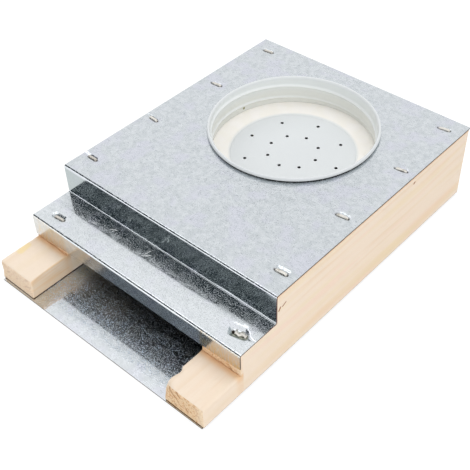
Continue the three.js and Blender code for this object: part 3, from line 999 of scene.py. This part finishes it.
def tongue_wear(rail, points):
    """How far the tongue's inner edge is torn and its front corner is crushed, most on the right rail."""
    x, y, z = np.moveaxis(points, -1, 0)
    inwards = 1 if rail.right else -1
    inner_x = rail.low[0] if rail.right else rail.high[0]
    from_front, below = y - rail.low[1], rail.tongue_top - z
    on_tongue = y < rail.kerf_front - 1e-9
    edge_near = smooth_step(2.6, 0, np.abs(x - inner_x)) * smooth_step(2.6, 0, np.abs(below))
    torn = 0.12 + 0.06 * ripple(points, TORN_WAVES)
    torn = torn + 0.75 * smooth_step(9.6, 8.6, from_front) * smooth_step(2.0, 8.0, from_front)
    bite = (1.0 if rail.right else 0.2) * torn * edge_near * on_tongue
    corner = smooth_step(6, 0, np.abs(x - inner_x)) * smooth_step(4.5, 0, from_front)
    corner = corner * smooth_step(6, 0, below) * on_tongue
    slump = (1.5 if rail.right else 0.3) * corner**1.5
    return np.stack([inwards * bite, 0.7 * slump, -0.6 * bite - slump], axis=-1)


def make_rail(side):
    """One sawn rail: a stack of grid cells in the outline of its side view, with rounded arrises.

    The outline is three boxes, tongue, step and body, less the saw kerf. The staples' dents are
    pressed into the top, low waves make the sawn faces uneven, and the tongue's inner edge is torn.
    """
    rail = rail_shape(side)
    x, y, z = rail_lines(rail)
    middle_y = ((y[1:] + y[:-1]) / 2)[:, None]
    middle_z = ((z[1:] + z[:-1]) / 2)[None, :]
    solid = (
        ((middle_y > rail.riser) | (middle_z < rail.step_top))
        & ((middle_y > rail.lip) | (middle_z < rail.tongue_top))
        & ~((middle_y > rail.kerf_front) & (middle_y < rail.lip) & (middle_z > rail.kerf_floor))
    )
    faces, ends = block_faces(solid, len(x))
    sawn = np.stack(np.meshgrid(x, y, z, indexing="ij"), axis=-1)
    from_lip, from_riser = y > rail.lip - 0.01, y > rail.riser - 0.01
    top_of = np.where(from_riser, rail.high[2], np.where(from_lip, rail.step_top, rail.tongue_top))[:, None]
    above_tongue, above_step = z > rail.tongue_top + 0.01, z > rail.step_top + 0.01
    front_of = np.where(above_step, rail.riser, np.where(above_tongue, rail.lip, rail.low[1]))
    low_corner, high_corner = np.empty_like(sawn), np.empty_like(sawn)
    low_corner[...], high_corner[...] = rail.low, rail.high
    low_corner[..., 1], high_corner[..., 2] = front_of, top_of
    points = round_arrises(sawn, low_corner, high_corner, arris_radius(rail, sawn))

    sheet_above = sawn.copy()
    sheet_above[..., 2] = top_of + 0.6
    near_top = np.clip(1 - (top_of - sawn[..., 2]) / 4, 0, 1)
    points[..., 2] -= dent_depth(sheet_above, np.array([0, 0, 1])) * near_top * from_lip[:, None]
    shifts = [ripple(sawn[..., order], SAWN_WAVES) for order in ([0, 1, 2], [1, 2, 0], [2, 0, 1])]
    points += 0.03 * np.stack(shifts, axis=-1) + tongue_wear(rail, sawn)

    mesh = make_mesh(f"{side}_wood_rail", points.reshape(-1, 3), [faces], 45)
    add_layer(mesh, "across_grain", ends * (1.0 if rail.right else 0.42), "FACE")
    place(f"{side}_wood_rail", mesh, BOX, "wood", ["sawn pine"], f"{side}_rail")


# Materials

# Every node in use, by a short name: its type, its settings, the sockets that its values go to in
# order, and the output that is handed on. None hands on all outputs.
KINDS = {
    "place": ("ShaderNodeTexCoord", {}, (), "Object"),
    "normal": ("ShaderNodeNewGeometry", {}, (), "Normal"),
    "attribute": ("ShaderNodeAttribute", {}, (), "Fac"),
    "light path": ("ShaderNodeLightPath", {}, (), None),
    "split": ("ShaderNodeSeparateXYZ", {}, (0,), None),
    "join": ("ShaderNodeCombineXYZ", {}, (0, 1, 2), 0),
    "mapping": ("ShaderNodeMapping", {}, ("Vector", "Scale"), 0),
    "noise": ("ShaderNodeTexNoise", {}, ("Vector", "Scale", "Detail", "Roughness"), 0),
    "ramp": ("ShaderNodeMapRange", {"interpolation_type": "SMOOTHSTEP", "clamp": True}, (0, 1, 2, 3, 4), 0),
    "clamp": ("ShaderNodeClamp", {}, ("Value", "Min", "Max"), 0),
    "mix": ("ShaderNodeMix", {"data_type": "RGBA"}, (0, 6, 7), 2),
    "less": ("ShaderNodeMath", {"operation": "SUBTRACT", "use_clamp": True}, (0, 1), 0),
    "offset": ("ShaderNodeVectorMath", {"operation": "SUBTRACT"}, (0, 1), 0),
    "by axis": ("ShaderNodeVectorMath", {"operation": "MULTIPLY"}, (0, 1), 0),
    "scaled": ("ShaderNodeVectorMath", {"operation": "SCALE"}, (0, "Scale"), 0),
    "dot": ("ShaderNodeVectorMath", {"operation": "DOT_PRODUCT"}, (0, 1), "Value"),
    "distance": ("ShaderNodeVectorMath", {"operation": "DISTANCE"}, (0, 1), "Value"),
    "length": ("ShaderNodeVectorMath", {"operation": "LENGTH"}, (0,), "Value"),
    "bump": ("ShaderNodeBump", {}, ("Height", "Distance", "Strength", "Normal"), 0),
    "surface": (
        "ShaderNodeBsdfPrincipled",
        {},
        ("Base Color", "Roughness", "Metallic", "Normal", "Specular IOR Level"),
        0,
    ),
    "matt": ("ShaderNodeBsdfDiffuse", {}, ("Color",), 0),
    "glow": ("ShaderNodeEmission", {}, ("Color", "Strength"), 0),
    "background": ("ShaderNodeBackground", {}, ("Color", "Strength"), 0),
    "added shaders": ("ShaderNodeAddShader", {}, (0, 1), 0),
    "mixed shaders": ("ShaderNodeMixShader", {}, (0, 1, 2), 0),
    "output": ("ShaderNodeOutputMaterial", {}, ("Surface",), None),
    "world output": ("ShaderNodeOutputWorld", {}, ("Surface",), None),
}
SUMS = {
    "plus": "ADD",
    "times": "MULTIPLY",
    "times plus": "MULTIPLY_ADD",
    "power": "POWER",
    "larger": "MAXIMUM",
    "size": "ABSOLUTE",
    "fraction": "FRACT",
}
for short, operation in SUMS.items():
    KINDS[short] = ("ShaderNodeMath", {"operation": operation}, (0, 1, 2), 0)


def add_node(tree, kind, *values, **settings):
    """Adds one node by its short name. A value is a number, a colour or another node's output."""
    type_name, fixed, sockets, output = KINDS[kind]
    made = tree.nodes.new(type_name)
    for key, value in {**fixed, **settings}.items():
        setattr(made, key, value)
    for socket, value in zip(sockets, values):
        if isinstance(value, bpy.types.NodeSocket):
            tree.links.new(value, made.inputs[socket])
        else:
            made.inputs[socket].default_value = value
    return made.outputs if output is None else made.outputs[output]


def node_adder(owner):
    """Empties the node tree of a material or world, and gives the function that adds nodes to it."""
    owner.use_nodes = True
    owner.node_tree.nodes.clear()
    return functools.partial(add_node, owner.node_tree)


def material(name):
    """The material of that name, made by its function in MAKERS when it is first asked for."""
    made = bpy.data.materials.get(name)
    if made is None:
        made = bpy.data.materials.new(name)
        node = node_adder(made)
        node("output", MAKERS[name](node, colours()))
    return made


def grain(node, size, detail=2.0, stretch=(1, 1, 1), roughness=0.5):
    """Noise on Object coordinates whose features are about size millimetres across, stretched by axis."""
    scale = tuple(1 / (size * MM * share) for share in stretch)
    return node("noise", node("mapping", node("place"), scale), 1.0, detail, roughness)


def mm(*lengths):
    """Lengths in millimetres as metres, which Object coordinates are in."""
    return [length_mm * MM for length_mm in lengths]


def between(node, place, rise, full, fall, end):
    """1 along an axis from full to fall, in millimetres, and 0 before rise and after end."""
    return node("times", node("ramp", place, *mm(rise, full)), node("ramp", place, *mm(fall, end), 1.0, 0.0))


def product(node, first, *others):
    """All the values multiplied."""
    for other in others:
        first = node("times", first, other)
    return first


def layered(node, base, *coats):
    """Lays coats over a base colour. Each coat is how much of it lies there, and its colour."""
    for share, over in coats:
        base = node("mix", share, base, over)
    return base


def strokes(node, *marks):
    """1 on thin straight marks. Each mark is its start, its end and its half width in millimetres."""
    mask = 0.0
    for start, end, half_width in marks:
        start, end = Vector(start) * MM, Vector(end) * MM
        reach = (end - start).length
        along = (end - start) / reach
        offset = node("offset", node("place"), start)
        held = node("clamp", node("dot", offset, along), 0.0, reach)
        gap = node("distance", offset, node("scaled", along, held))
        mask = node("larger", mask, node("ramp", gap, *mm(half_width * 0.4, half_width), 1.0, 0.0))
    return mask


def sheet_areas(node):
    """Masks of the places on the sheets that look different, and of the zinc's crystals."""
    x, y, z = node("split", node("place"))
    facing_up = node("size", node("split", node("normal"))[2])
    level = node("ramp", facing_up, 0.5, 0.95)
    floor = node("ramp", z, *mm(4, 6), 1.0, 0.0)
    before_lip = node("ramp", y, *mm(-63.7, -63.4), 1.0, 0.0)
    near_front = node("ramp", y, *mm(-81.5, -78.5), 1.0, 0.0)
    front_strip = node("times", near_front, node("ramp", z, *mm(4, 6), 0.7, 0.0))
    clusters = node("ramp", grain(node, 3.5, 1.0), 0.38, 0.6, 0.5, 1.0)
    crowding = node("less", node("times", clusters, level), front_strip)
    facets = node("ramp", grain(node, sizes().spangle, 1.0), 0.55, 0.62)
    scratches = strokes(
        node,
        ((-5.1, -51.2, 21.9), (-2.6, -49.1, 21.9), 0.3),
        ((-4.3, -47.1, 21.9), (-4.8, -49.8, 21.9), 0.22),
        ((-25.7, -49.0, 21.9), (-24.2, -47.6, 21.9), 0.2),
        ((-24.4, -49.2, 21.9), (-23.2, -47.5, 21.9), 0.2),
        ((-34.0, -50.8, 21.9), (-32.8, -50.0, 21.9), 0.2),
    )
    return SimpleNamespace(
        x=x,
        y=y,
        z=z,
        level=level,
        floor=floor,
        before_lip=before_lip,
        lip=node("less", before_lip, floor),
        step=between(node, z, 20.8, 21.2, 22.3, 22.8),
        riser=node("less", node("ramp", z, *mm(22.2, 23)), level),
        front_strip=front_strip,
        crowding=crowding,
        facets=node("times", facets, crowding),
        scratches=scratches,
        # painted shade over crumpled zinc in the crushed staple's cup
        crushed=node("attribute", attribute_name="crushed_zinc"),
        # painted shade of the gaps round each staple, over torn and rusty zinc
        torn=node("attribute", attribute_name="torn_zinc"),
    )


def zinc_colour(node, c, at):
    """Slow clouds of the zinc, and then, one over the other, what lies on it or has changed it, and the
    painted shade and painted reflections laid on it.
    """
    clouds = node("ramp", grain(node, 2.2, 3.0, roughness=0.65), 0.33, 0.67)
    violet = node("ramp", grain(node, 8, 1.0), 0.48, 0.66, 0.0, 0.6)
    flecks = node("ramp", grain(node, 1.2, 1.0, (1.5, 0.5, 1)), 0.62, 0.7, 0.0, 0.7)
    # Painted dark reflection: the riser is painted darker grey up to just under its upper fold.
    painted_dark_riser = product(node, at.riser, node("ramp", at.z, *mm(34.2, 34.8), 0.7, 0.0))
    # Painted reflection: the lower plate is painted paler towards the border of the riser's reflection, and
    # the floor's front strip is painted paler as well.
    paler = product(
        node,
        node("ramp", at.y, *mm(-53.5, -51.5), 0.42, 0.15),
        node("ramp", at.x, *mm(-40, 0), 0.6, 1.0),
        at.step,
    )
    paler = node("times plus", at.front_strip, 0.35, paler)
    # Painted reflection: the lip is tinted warm where the wood stands before it, most over the tongues and
    # low down, less at its left end and in its left half.
    painted_wood_reflection = product(
        node,
        node("ramp", node("size", at.x), *mm(36.5, 38.5)),
        node("ramp", at.x, *mm(-56.5, -53.5), 0.6, 1.0),
        node("ramp", at.x, *mm(-10, 10), 0.7, 1.0),
        at.before_lip,
        node("ramp", at.z, *mm(13.5, 20.8), 0.95, 0.5),
        node("ramp", grain(node, 1.3, 2.0, (0.45, 1, 2.4)), 0.38, 0.58, 0.3, 1.0),
    )
    # Painted shade: the floor is painted darker grey towards the back, under the lip.
    dull = product(node, at.floor, node("ramp", at.y, *mm(-66, -58)), 0.8)
    crumple = node("ramp", grain(node, 1.2, 2.0), 0.4, 0.6)
    return layered(
        node,
        node("mix", clouds, c.zinc_dark, c.zinc_light),
        (violet, c.zinc_violet),
        (node("times", flecks, at.level), linear("#B7BEC4")),
        (node("times", at.facets, at.floor), linear("#DCE6F0")),
        # painted dark reflection on the riser
        (painted_dark_riser, linear("#A3AFAE")),
        (at.scratches, linear("#FFFFFF")),
        # painted reflection: paler zinc on the lower plate and on the floor's front strip
        (paler, linear("#F4F8FB")),
        # painted reflection of the wood in the lip
        (node("less", painted_wood_reflection, at.floor), c.resin_stain),
        # painted shade on the floor under the lip
        (dull, linear("#767E84")),
        # painted shade on the crushed cup's near slope and bottom, mottled like crumpled zinc
        (at.crushed, node("mix", crumple, linear("#8E958E"), linear("#C9CCBE"))),
        # painted shade of the gaps round each staple, in the colour of rust
        (at.torn, c.rust),
    )


def zinc_roughness(node, at):
    """Nearly a mirror, with rougher crystals, and rougher where it is worn, smeared, crushed or torn."""
    least = node("plus", node("times", node("ramp", at.y, *mm(-75.1, -74.1), 0.0, 0.095), at.floor), 0.08)
    rough = node("times plus", at.facets, node("ramp", at.z, *mm(4, 6), 0.85, 0.42), least)
    smeared = product(
        node,
        between(node, at.y, -52.2, -51.4, -51.2, -47),
        node("ramp", at.z, *mm(22, 22.3), 1.0, 0.0),
        node("ramp", grain(node, 3.2, 2.0, (1.6, 0.8, 1)), 0.38, 0.62),
    )
    rough = node("times plus", at.riser, 0.06, rough)
    rough = node("times plus", smeared, 0.2, rough)
    rough = node("larger", rough, at.scratches)
    for place, more in ((at.crushed, 0.45), (at.lip, 0.12), (at.torn, 0.5)):
        rough = node("times plus", place, more, rough)
    return rough


def zinc_relief(node, at):
    """Tilted crystals, upright brush lines, and a bow of two places that only turns the reflections.

    The bow is a slope of a few hundredths. The lower plate rises to the back, most at its right
    end, and the floor falls to the back behind its front strip.
    """
    tilted = node("ramp", grain(node, sizes().spangle * 0.9, 0.0), 0.62, 0.72)
    tilted = node("times", tilted, at.crowding)
    relief = node("bump", tilted, 0.06 * MM, node("ramp", at.z, *mm(4, 6), 0.25, 1.0))
    brushed = node("ramp", at.level, 0.0, 1.0, 0.1, 1.0)
    brushed = node("times", brushed, node("ramp", at.z, *mm(34, 35.2), 0.35, 1.0))
    relief = node("bump", grain(node, 1.1, 1.0, (0.6, 1, 5)), 0.006 * MM, brushed, relief)
    swell = node("times", node("ramp", at.x, *mm(18, 48), 0.007, 0.048), at.step)
    bow = node("times", swell, node("plus", at.y, 51 * MM))
    curl = node("ramp", at.z, *mm(1, 3), -0.03, 0.0)
    from_front = node("plus", node("larger", at.y, -77.5 * MM), 75.5 * MM)
    return node("bump", node("times plus", curl, from_front, bow), 1.0, 1.0, relief)


def galvanised_sheet(node, c):
    """Hot-dip galvanised steel sheet, skin rolled.

    Rolling leaves it almost a mirror, so the folds reflect each other with sharp borders. Crystals
    of half a millimetre stay rougher or tilted and sparkle white in a dark reflection, in clusters
    and not on the upright faces, which the bending tool has rubbed smooth and streaked upright. On
    the floor they are frosted white. The floor's front strip is painted paler, a painted reflection,
    and behind it the floor is painted darker grey, painted shade under the lip. Slow clouds of
    lighter, darker and violet zinc mottle it all. The riser is painted darker, a painted dark
    reflection, and the lower plate is painted paler at the border of the riser's reflection. The lip
    carries a painted reflection of the wood, warm where it stands over the tongues. Round each staple
    a thin line and spots are painted dark, painted shade of the gaps over a little torn and rusty
    zinc, and the crushed staple's cup is painted darker, painted shade over its crumpled zinc.
    Scratches are drawn where they lie.
    """
    at = sheet_areas(node)
    return node("surface", zinc_colour(node, c, at), zinc_roughness(node, at), 1.0, zinc_relief(node, at))


def sheared_edge(node, c):
    """Edge of zinc-coated sheet cut on a shear: smeared zinc and bare steel, with its first rust in spots."""
    along = node("split", node("place"))[1]
    base = layered(
        node,
        c.cut_steel,
        (node("ramp", grain(node, 4, 2.0), 0.42, 0.6), c.rust),
        (between(node, along, -50, -47, -42, -39), linear("#5B2F28")),
    )
    return node("surface", base, 0.5, 0.4)


def growth_rings(node, x, z, wander):
    """1 on the late wood of wandering rings round a pith 21 mm to the left and 52 mm below."""
    from_pith = node("length", node("join", node("plus", x, 21 * MM), 0.0, node("plus", z, 52 * MM)))
    rings = node("times", from_pith, 1 / (sizes().grain_spacing * MM))
    part = node("fraction", node("plus", rings, node("times", wander, 1.4)))
    return node("times", node("ramp", part, 0.35, 0.85), node("ramp", part, 0.85, 1.0, 1.0, 0.0))


def pine_sides(node, c, x, y, z, wander, late, fibre):
    """Wood along the grain: streaks, rings and fibre, and the marks that lie on it.

    The streaks and rings are calmer on the tongues. A yellower band runs along the foot. A painted
    shadow darkens the wood just under the sheet's side edge, a painted warm glow of bounce light and
    shade lies near the lip, and the inner side of the left tongue is painted warmer as bounce light.
    """
    fade = node("ramp", grain(node, 14, 1.0, (1, 5, 1)), 0.42, 0.7, 0.0, 0.45)
    ring = product(node, late, fade, node("ramp", y, *mm(-66, -56), 0.6, 1.0))
    calm = node("ramp", y, *mm(-66, -56), 0.35, 1.0)
    yellow = node("times", node("ramp", grain(node, 6.5, 2.0, (1, 14, 1)), 0.5, 0.7, 0.0, 0.45), calm)
    pink = node("times", node("ramp", grain(node, 4.8, 2.0, (1, 9, 1)), 0.5, 0.7, 0.0, 0.8), calm)
    foot = between(node, node("times plus", wander, 4 * MM, z), 3.5, 5.5, 7.5, 10.5)
    foot = node("times", foot, node("ramp", y, *mm(-66, -40), 0.1, 0.3))
    # Painted bounce light and shade: a warm orange glow on the wood near the lip, over the orange line of the
    # kerf.
    kerf_line_and_bounce = product(
        node,
        node("power", between(node, y, -68.2, -64.1, -62.5, -61.5), 2.6),
        node("times", node("ramp", z, *mm(6, 10.2), 0.2, 0.7), node("ramp", z, *mm(10.7, 11.8), 1.0, 0.25)),
    )
    # Painted bounce light: the inner side of the left tongue is painted warmer orange.
    inner = product(
        node,
        node("ramp", x, *mm(-38.4, -37.9)),
        node("ramp", y, *mm(-64.5, -63), 1.0, 0.0),
        node("ramp", x, *mm(0, 1), 1.0, 0.0),
        node("ramp", grain(node, 1.3, 2.0, (1, 20, 1)), 0.4, 0.62, 0.3, 0.9),
    )
    resin = node("times", strokes(node, ((-55.4, -70.4, 10.4), (-54.7, -74.4, 10.4), 2.2)), 0.7)
    marks = strokes(
        node,
        ((57.0, 42.2, 32.0), (57.0, 42.7, 32.3), 0.6),
        ((57.0, -42.6, 27.6), (57.0, -41.8, 28.8), 0.55),
        ((57.0, -40.6, 28.4), (57.0, -38.8, 29.2), 0.4),
    )
    return layered(
        node,
        c.sapwood,
        (yellow, c.yellow_streak),
        (pink, c.pink_streak),
        (ring, c.growth_ring),
        (node("ramp", fibre, 0.55, 0.8, 0.0, 0.22), c.growth_ring),
        (foot, linear("#F0D6A6")),
        (node("ramp", z, *mm(33.8, 35.2), 0.0, 0.6), linear("#F0C79B")),
        # painted shadow in the gap under the sheet's side edge
        (node("ramp", z, *mm(35.0, 35.2), 0.0, 0.85), linear("#6B5240")),
        # painted warm glow near the lip, over the kerf's orange line
        (kerf_line_and_bounce, c.cut_glow),
        # painted bounce light on the left tongue's inner side
        (inner, linear("#F2CFA6")),
        (resin, linear("#F8E0A4")),
        (marks, linear("#9A6440")),
    )


def pine_ends(node, c, x, late, pores):
    """Wood cut across the grain: open pores, speckles and arcs of late wood, paler at the right corner."""
    arcs = node("ramp", grain(node, 6, 1.0), 0.5, 0.65, 0.0, 0.7)
    return layered(
        node,
        c.end_grain,
        (node("ramp", pores, 0.5, 0.66, 0.0, 0.85), c.end_pores),
        (node("ramp", grain(node, 1.6, 2.0), 0.5, 0.64, 0.0, 0.5), linear("#D99F66")),
        (node("times", node("ramp", late, 0.4, 0.9), arcs), linear("#A76B38")),
        (node("ramp", x, *mm(52.5, 56.2), 0.0, 0.65), linear("#F6E2C6")),
    )


def sawn_pine(node, c):
    """Sawn pine sapwood, unfinished.

    Growth rings round a pith well below the rail give faint straight lines along the sides and arcs
    on the ends. Sawn ends are darker and pitted, because light sinks into the open pores. At the
    saw's kerf the wood has an orange line, with a painted warm glow of bounce light and shade round it
    near the lip, and a painted contact shadow runs as a dark line where the wood lies on the floor
    sheet. Fibre and pores are drawn coarser than they are, so that they show.
    """
    x, y, z = node("split", node("place"))
    wander = grain(node, 12, 2.0, (1, 7, 1))
    late = growth_rings(node, x, z, wander)
    fibre, pores = grain(node, 0.6, 2.0, (1, 16, 1)), grain(node, 0.8, 3.0, roughness=0.75)
    across = node("attribute", attribute_name="across_grain")
    base = layered(
        node,
        pine_sides(node, c, x, y, z, wander, late, fibre),
        (across, pine_ends(node, c, x, late, pores)),
        # painted contact shadow at the wood's foot, where it lies on the floor sheet
        (node("ramp", z, *mm(0.7, 1.1), 1.0, 0.0), c.bottom_edge),
    )
    relief = node("bump", node("mix", across, fibre, pores), 0.15 * MM, 1.0)
    return node("surface", base, 0.72, 0.0, relief, 0.3)


def enamelled_tin(node, c):
    """White stove enamel over tinplate: glossy, with a faint orange peel; the wall is painted a touch paler,
    and painted warmer low down as bounce light from the gasket.

    The thread's crest is painted brighter, a painted highlight. One speck of rust has come through at its
    foot.
    """
    height = node("split", node("place"))[2]
    crest = node("attribute", attribute_name="thread_crest")
    base = layered(
        node,
        c.enamel,
        # painted light: the wall is painted a touch paler than the panel
        (between(node, height, 23.7, 24.3, 36.2, 37), linear("#E4E8E7")),
        # painted bounce light from the gasket, low on the wall
        (between(node, height, 23.2, 23.8, 29, 35), c.wall_enamel),
        # painted highlight on the thread's crest
        (node("ramp", crest, 0.2, 1.0, 0.0, 0.75), linear("#F4F6F6")),
        (strokes(node, ((-35.9, 43.9, 26.0), (-35.9, 43.9, 26.3), 0.75)), linear("#8A8558")),
    )
    return node("surface", base, 0.24, 0.0, node("bump", grain(node, 1.6, 1.0), 0.012 * MM, 1.0))


def black_lacquer(node, c):
    """Black lacquered outside of the lid, which also stands in for the shade of the gap under the rim and
    inside the holes: it shows there as a thin dark line and dark dots.
    """
    worn = node("ramp", grain(node, 3, 2.0), 0.35, 0.7)
    return node("surface", node("mix", worn, c.lacquer, linear("#34363A")), 0.4)


def sealing_compound(node, c):
    """Cream sealing compound, flowed into the lid's channel: soft sheen, no grain, thin at its inner edge."""
    low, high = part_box("lid_gasket")
    middle = (low + high) / 2
    from_axis = node("by axis", node("offset", node("place"), (middle.x, middle.y, 0)), (1, 1, 0))
    flowed = node("ramp", grain(node, 6, 2.0), 0.35, 0.65, 0.0, 0.4)
    cream = node("mix", flowed, c.compound, linear("#F8F3E7"))
    thick = node("ramp", node("length", from_axis), *mm(27.3, 29.1))
    return node("surface", node("mix", thick, c.enamel, cream), 0.45)


def staple_wire_material(node, c):
    """Galvanised staple wire, flattened and scraped by the driver: bright with darker scratches.

    Some crowns are rubbed dull, and below its top the wire is painted dark, painted shade in the slot.
    """
    scrape = grain(node, 0.7, 2.0, (3, 1, 1))
    base = layered(
        node,
        c.staple_zinc,
        (node("attribute", attribute_name="dull"), c.staple_dull),
        (node("ramp", scrape, 0.52, 0.68, 0.0, 0.7), c.staple_dirt),
        # painted shade on the wire below its top, in the slot, in the colour of rust
        (node("ramp", node("attribute", attribute_name="sunk"), 0.38, 0.7, 0.0, 0.8), c.rust),
    )
    return node("surface", base, 0.36, 1.0, node("bump", scrape, 0.06 * MM, 1.0))


MAKERS = {
    "galvanised sheet steel": galvanised_sheet,
    "sheared steel edge": sheared_edge,
    "sawn pine": sawn_pine,
    "enamelled tinplate": enamelled_tin,
    "black lacquered tinplate": black_lacquer,
    "sealing compound": sealing_compound,
    "galvanised staple wire": staple_wire_material,
}


# Stage: everything in metres

STUDIO_REACH = 3.0
STUDIO_DROP = -0.0004
LENS_MM = 66.8
SENSOR_MM = 36
CAMERA_PLACE = (0.18776, -0.20270, 0.25920)
# The camera's right, up and back, fitted to the corners of the feeder in the photo
CAMERA_AXES = (
    (0.74459362, 0.66698673, -0.02662787),
    (-0.44282181, 0.52340891, 0.727978),
    (0.49948893, -0.53025637, 0.6850832),
)
NIGHT = (0.03, 0.043, 0.051, 1)
WHITE = (1, 1, 1, 1)
# Each card: its centre, two directions, its width and height, its colour and its strength
CARDS = {
    "dark_card": ((-0.384, -0.384, 0.4055), (-1, 1, 0), (0.48, 0.48, 0.69), 0.66, 0.52, NIGHT, 1.0),
    "overhead_card": ((-0.32, 0.035, 0.64), (0, 1, 0), (1, 0, 0.5), 0.26, 0.26, WHITE, 1.9),
    "front_card": ((-0.35, -0.62, 0.08), (1, -0.55, 0), (0, 0, 1), 1.2, 0.2, WHITE, 1.8),
}
# Each soft box: its centre, its width and height and its power in watts
SOFT_BOXES = {
    "soft_box": ((0.12, 0.22, 0.78), 0.7, 0.5, 2.15),
    "front_box": ((0.62, -0.52, 0.2), 0.5, 0.3, 1.6),
    "left_box": ((-0.58, 0.0, 0.55), 0.5, 0.35, 0.9),
}
LIT_POINT = (0, 0, 0.02)


def stage_quad(name, corners, made_of, paint):
    """One flat quad of the studio. Its own material has the name made_of, and paint gives its shader."""
    mesh = bpy.data.meshes.new(name)
    mesh.from_pydata(corners, [], [(0, 1, 2, 3)])
    made = bpy.data.materials.new(made_of)
    node = node_adder(made)
    node("output", paint(node))
    mesh.materials.append(made)
    piece = link_object(name, mesh)
    return piece


def seen_directly(node):
    """1 for camera, glossy and transmission rays, which see the white studio."""
    path = node("light path")
    first = node("larger", path["Is Camera Ray"], path["Is Glossy Ray"])
    return node("larger", first, path["Is Transmission Ray"])


def white_paper(node):
    """Paper that is a plain diffuser for the light, and pure white where it is seen."""
    shown = node("added shaders", node("matt", (0.3, 0.3, 0.3, 1)), node("glow", WHITE, 0.8))
    return node("mixed shaders", seen_directly(node), node("matt", (0.8, 0.8, 0.8, 1)), shown)


def make_world():
    """A world that lights softly and is pure white where it is seen."""
    world = bpy.data.worlds.new("White studio")
    bpy.context.scene.world = world
    node = node_adder(world)
    lit, shown = node("background", (0.97, 0.985, 1, 1), 0.65), node("background", WHITE, 1.0)
    node("world output", node("mixed shaders", seen_directly(node), lit, shown))


def make_card(name, centre, across, up, width, height, colour_shown, strength):
    """A flat emitting card that only the object's reflections see."""
    across, up = np.array(across, float), np.array(up, float)
    across, up = across / np.linalg.norm(across) * width / 2, up / np.linalg.norm(up) * height / 2
    corners = np.array([-across - up, across - up, across + up, -across + up]) + np.array(centre)
    piece = stage_quad(name, corners.tolist(), name, lambda node: node("glow", colour_shown, strength))
    for rays in ("camera", "diffuse", "shadow", "transmission"):
        setattr(piece, f"visible_{rays}", False)


def make_soft_box(name, centre, width, height, watts):
    """A lamp that is aimed at the feeder and isn't mirrored in it."""
    lamp_data = bpy.data.lights.new(name, "AREA")
    lamp_data.shape = "RECTANGLE"
    lamp_data.size, lamp_data.size_y = width, height
    lamp_data.energy = watts
    lamp = link_object(name, lamp_data)
    lamp.location = centre
    lamp.rotation_euler = (Vector(LIT_POINT) - lamp.location).to_track_quat("-Z", "Y").to_euler()
    lamp.visible_glossy = False


def make_camera():
    """The camera at the photo's angle."""
    camera_data = bpy.data.cameras.new("photo_view")
    camera_data.lens = LENS_MM
    camera_data.sensor_width = SENSOR_MM
    camera_data.clip_start = 0.01
    camera = link_object("photo_view", camera_data)
    turned = Matrix(CAMERA_AXES).transposed().to_4x4()
    camera.matrix_world = Matrix.Translation(CAMERA_PLACE) @ turned
    bpy.context.scene.camera = camera


def make_stage():
    """White floor and world, a dark card and two white ones that the zinc reflects, lamps and the camera."""
    bpy.context.scene.view_settings.view_transform = "Standard"
    make_world()
    turns = ((-1, -1), (1, -1), (1, 1), (-1, 1))
    corners = [(x * STUDIO_REACH, y * STUDIO_REACH, STUDIO_DROP) for x, y in turns]
    stage_quad("studio_floor", corners, "white paper", white_paper)
    for name, card in CARDS.items():
        make_card(name, *card)
    for name, soft_box in SOFT_BOXES.items():
        make_soft_box(name, *soft_box)
    make_camera()


# Add-on


class FEEDER_OT_stage(bpy.types.Operator):
    """Makes the studio: floor, world, cards, lamps and camera"""

    bl_idname = "feeder.stage"
    bl_label = "Stage"

    def execute(self, context):
        make_stage()
        return {"FINISHED"}


class FEEDER_OT_rails(bpy.types.Operator):
    """Makes the two sawn wooden rails"""

    bl_idname = "feeder.rails"
    bl_label = "Rails"

    def execute(self, context):
        for side in ("left", "right"):
            make_rail(side)
        return {"FINISHED"}


class FEEDER_OT_top_sheet(bpy.types.Operator):
    """Makes the bent and dented top sheet with the lid's hole"""

    bl_idname = "feeder.top_sheet"
    bl_label = "Top Sheet"

    def execute(self, context):
        make_top_sheet()
        return {"FINISHED"}


class FEEDER_OT_floor_sheet(bpy.types.Operator):
    """Makes the floor sheet with its flange"""

    bl_idname = "feeder.floor_sheet"
    bl_label = "Floor Sheet"

    def execute(self, context):
        make_floor_sheet()
        return {"FINISHED"}


class FEEDER_OT_staples(bpy.types.Operator):
    """Makes every staple"""

    bl_idname = "feeder.staples"
    bl_label = "Staples"

    def execute(self, context):
        for name in STAPLES:
            make_staple(name)
        return {"FINISHED"}


class FEEDER_OT_lid(bpy.types.Operator):
    """Makes the perforated jar lid and its gasket"""

    bl_idname = "feeder.lid"
    bl_label = "Jar Lid"

    def execute(self, context):
        make_lid()
        make_gasket()
        return {"FINISHED"}


OPERATORS = (
    FEEDER_OT_stage,
    FEEDER_OT_rails,
    FEEDER_OT_top_sheet,
    FEEDER_OT_floor_sheet,
    FEEDER_OT_staples,
    FEEDER_OT_lid,
)


class FEEDER_PT_panel(bpy.types.Panel):
    """Lists the feeder's operators, sizes and colours"""

    bl_label = "Hive Entrance Feeder"
    bl_idname = "FEEDER_PT_panel"
    bl_space_type = "VIEW_3D"
    bl_region_type = "UI"
    bl_category = "Feeder"

    def draw(self, context):
        layout = self.layout
        for operator in OPERATORS:
            layout.operator(operator.bl_idname)
        for group in (context.scene.feeder_sizes, context.scene.feeder_colours):
            box = layout.box()
            for name in group.__annotations__:
                box.prop(group, name)


CLASSES = (FeederSizes, FeederColours, *OPERATORS, FEEDER_PT_panel)


def register():
    for made in CLASSES:
        bpy.utils.register_class(made)
    bpy.types.Scene.feeder_sizes = PointerProperty(type=FeederSizes)
    bpy.types.Scene.feeder_colours = PointerProperty(type=FeederColours)


def unregister():
    del bpy.types.Scene.feeder_colours
    del bpy.types.Scene.feeder_sizes
    for made in reversed(CLASSES):
        bpy.utils.unregister_class(made)


def main():
    register()
    for operator in OPERATORS:
        group, name = operator.bl_idname.split(".")
        getattr(getattr(bpy.ops, group), name)()


if __name__ == "__main__":
    main()
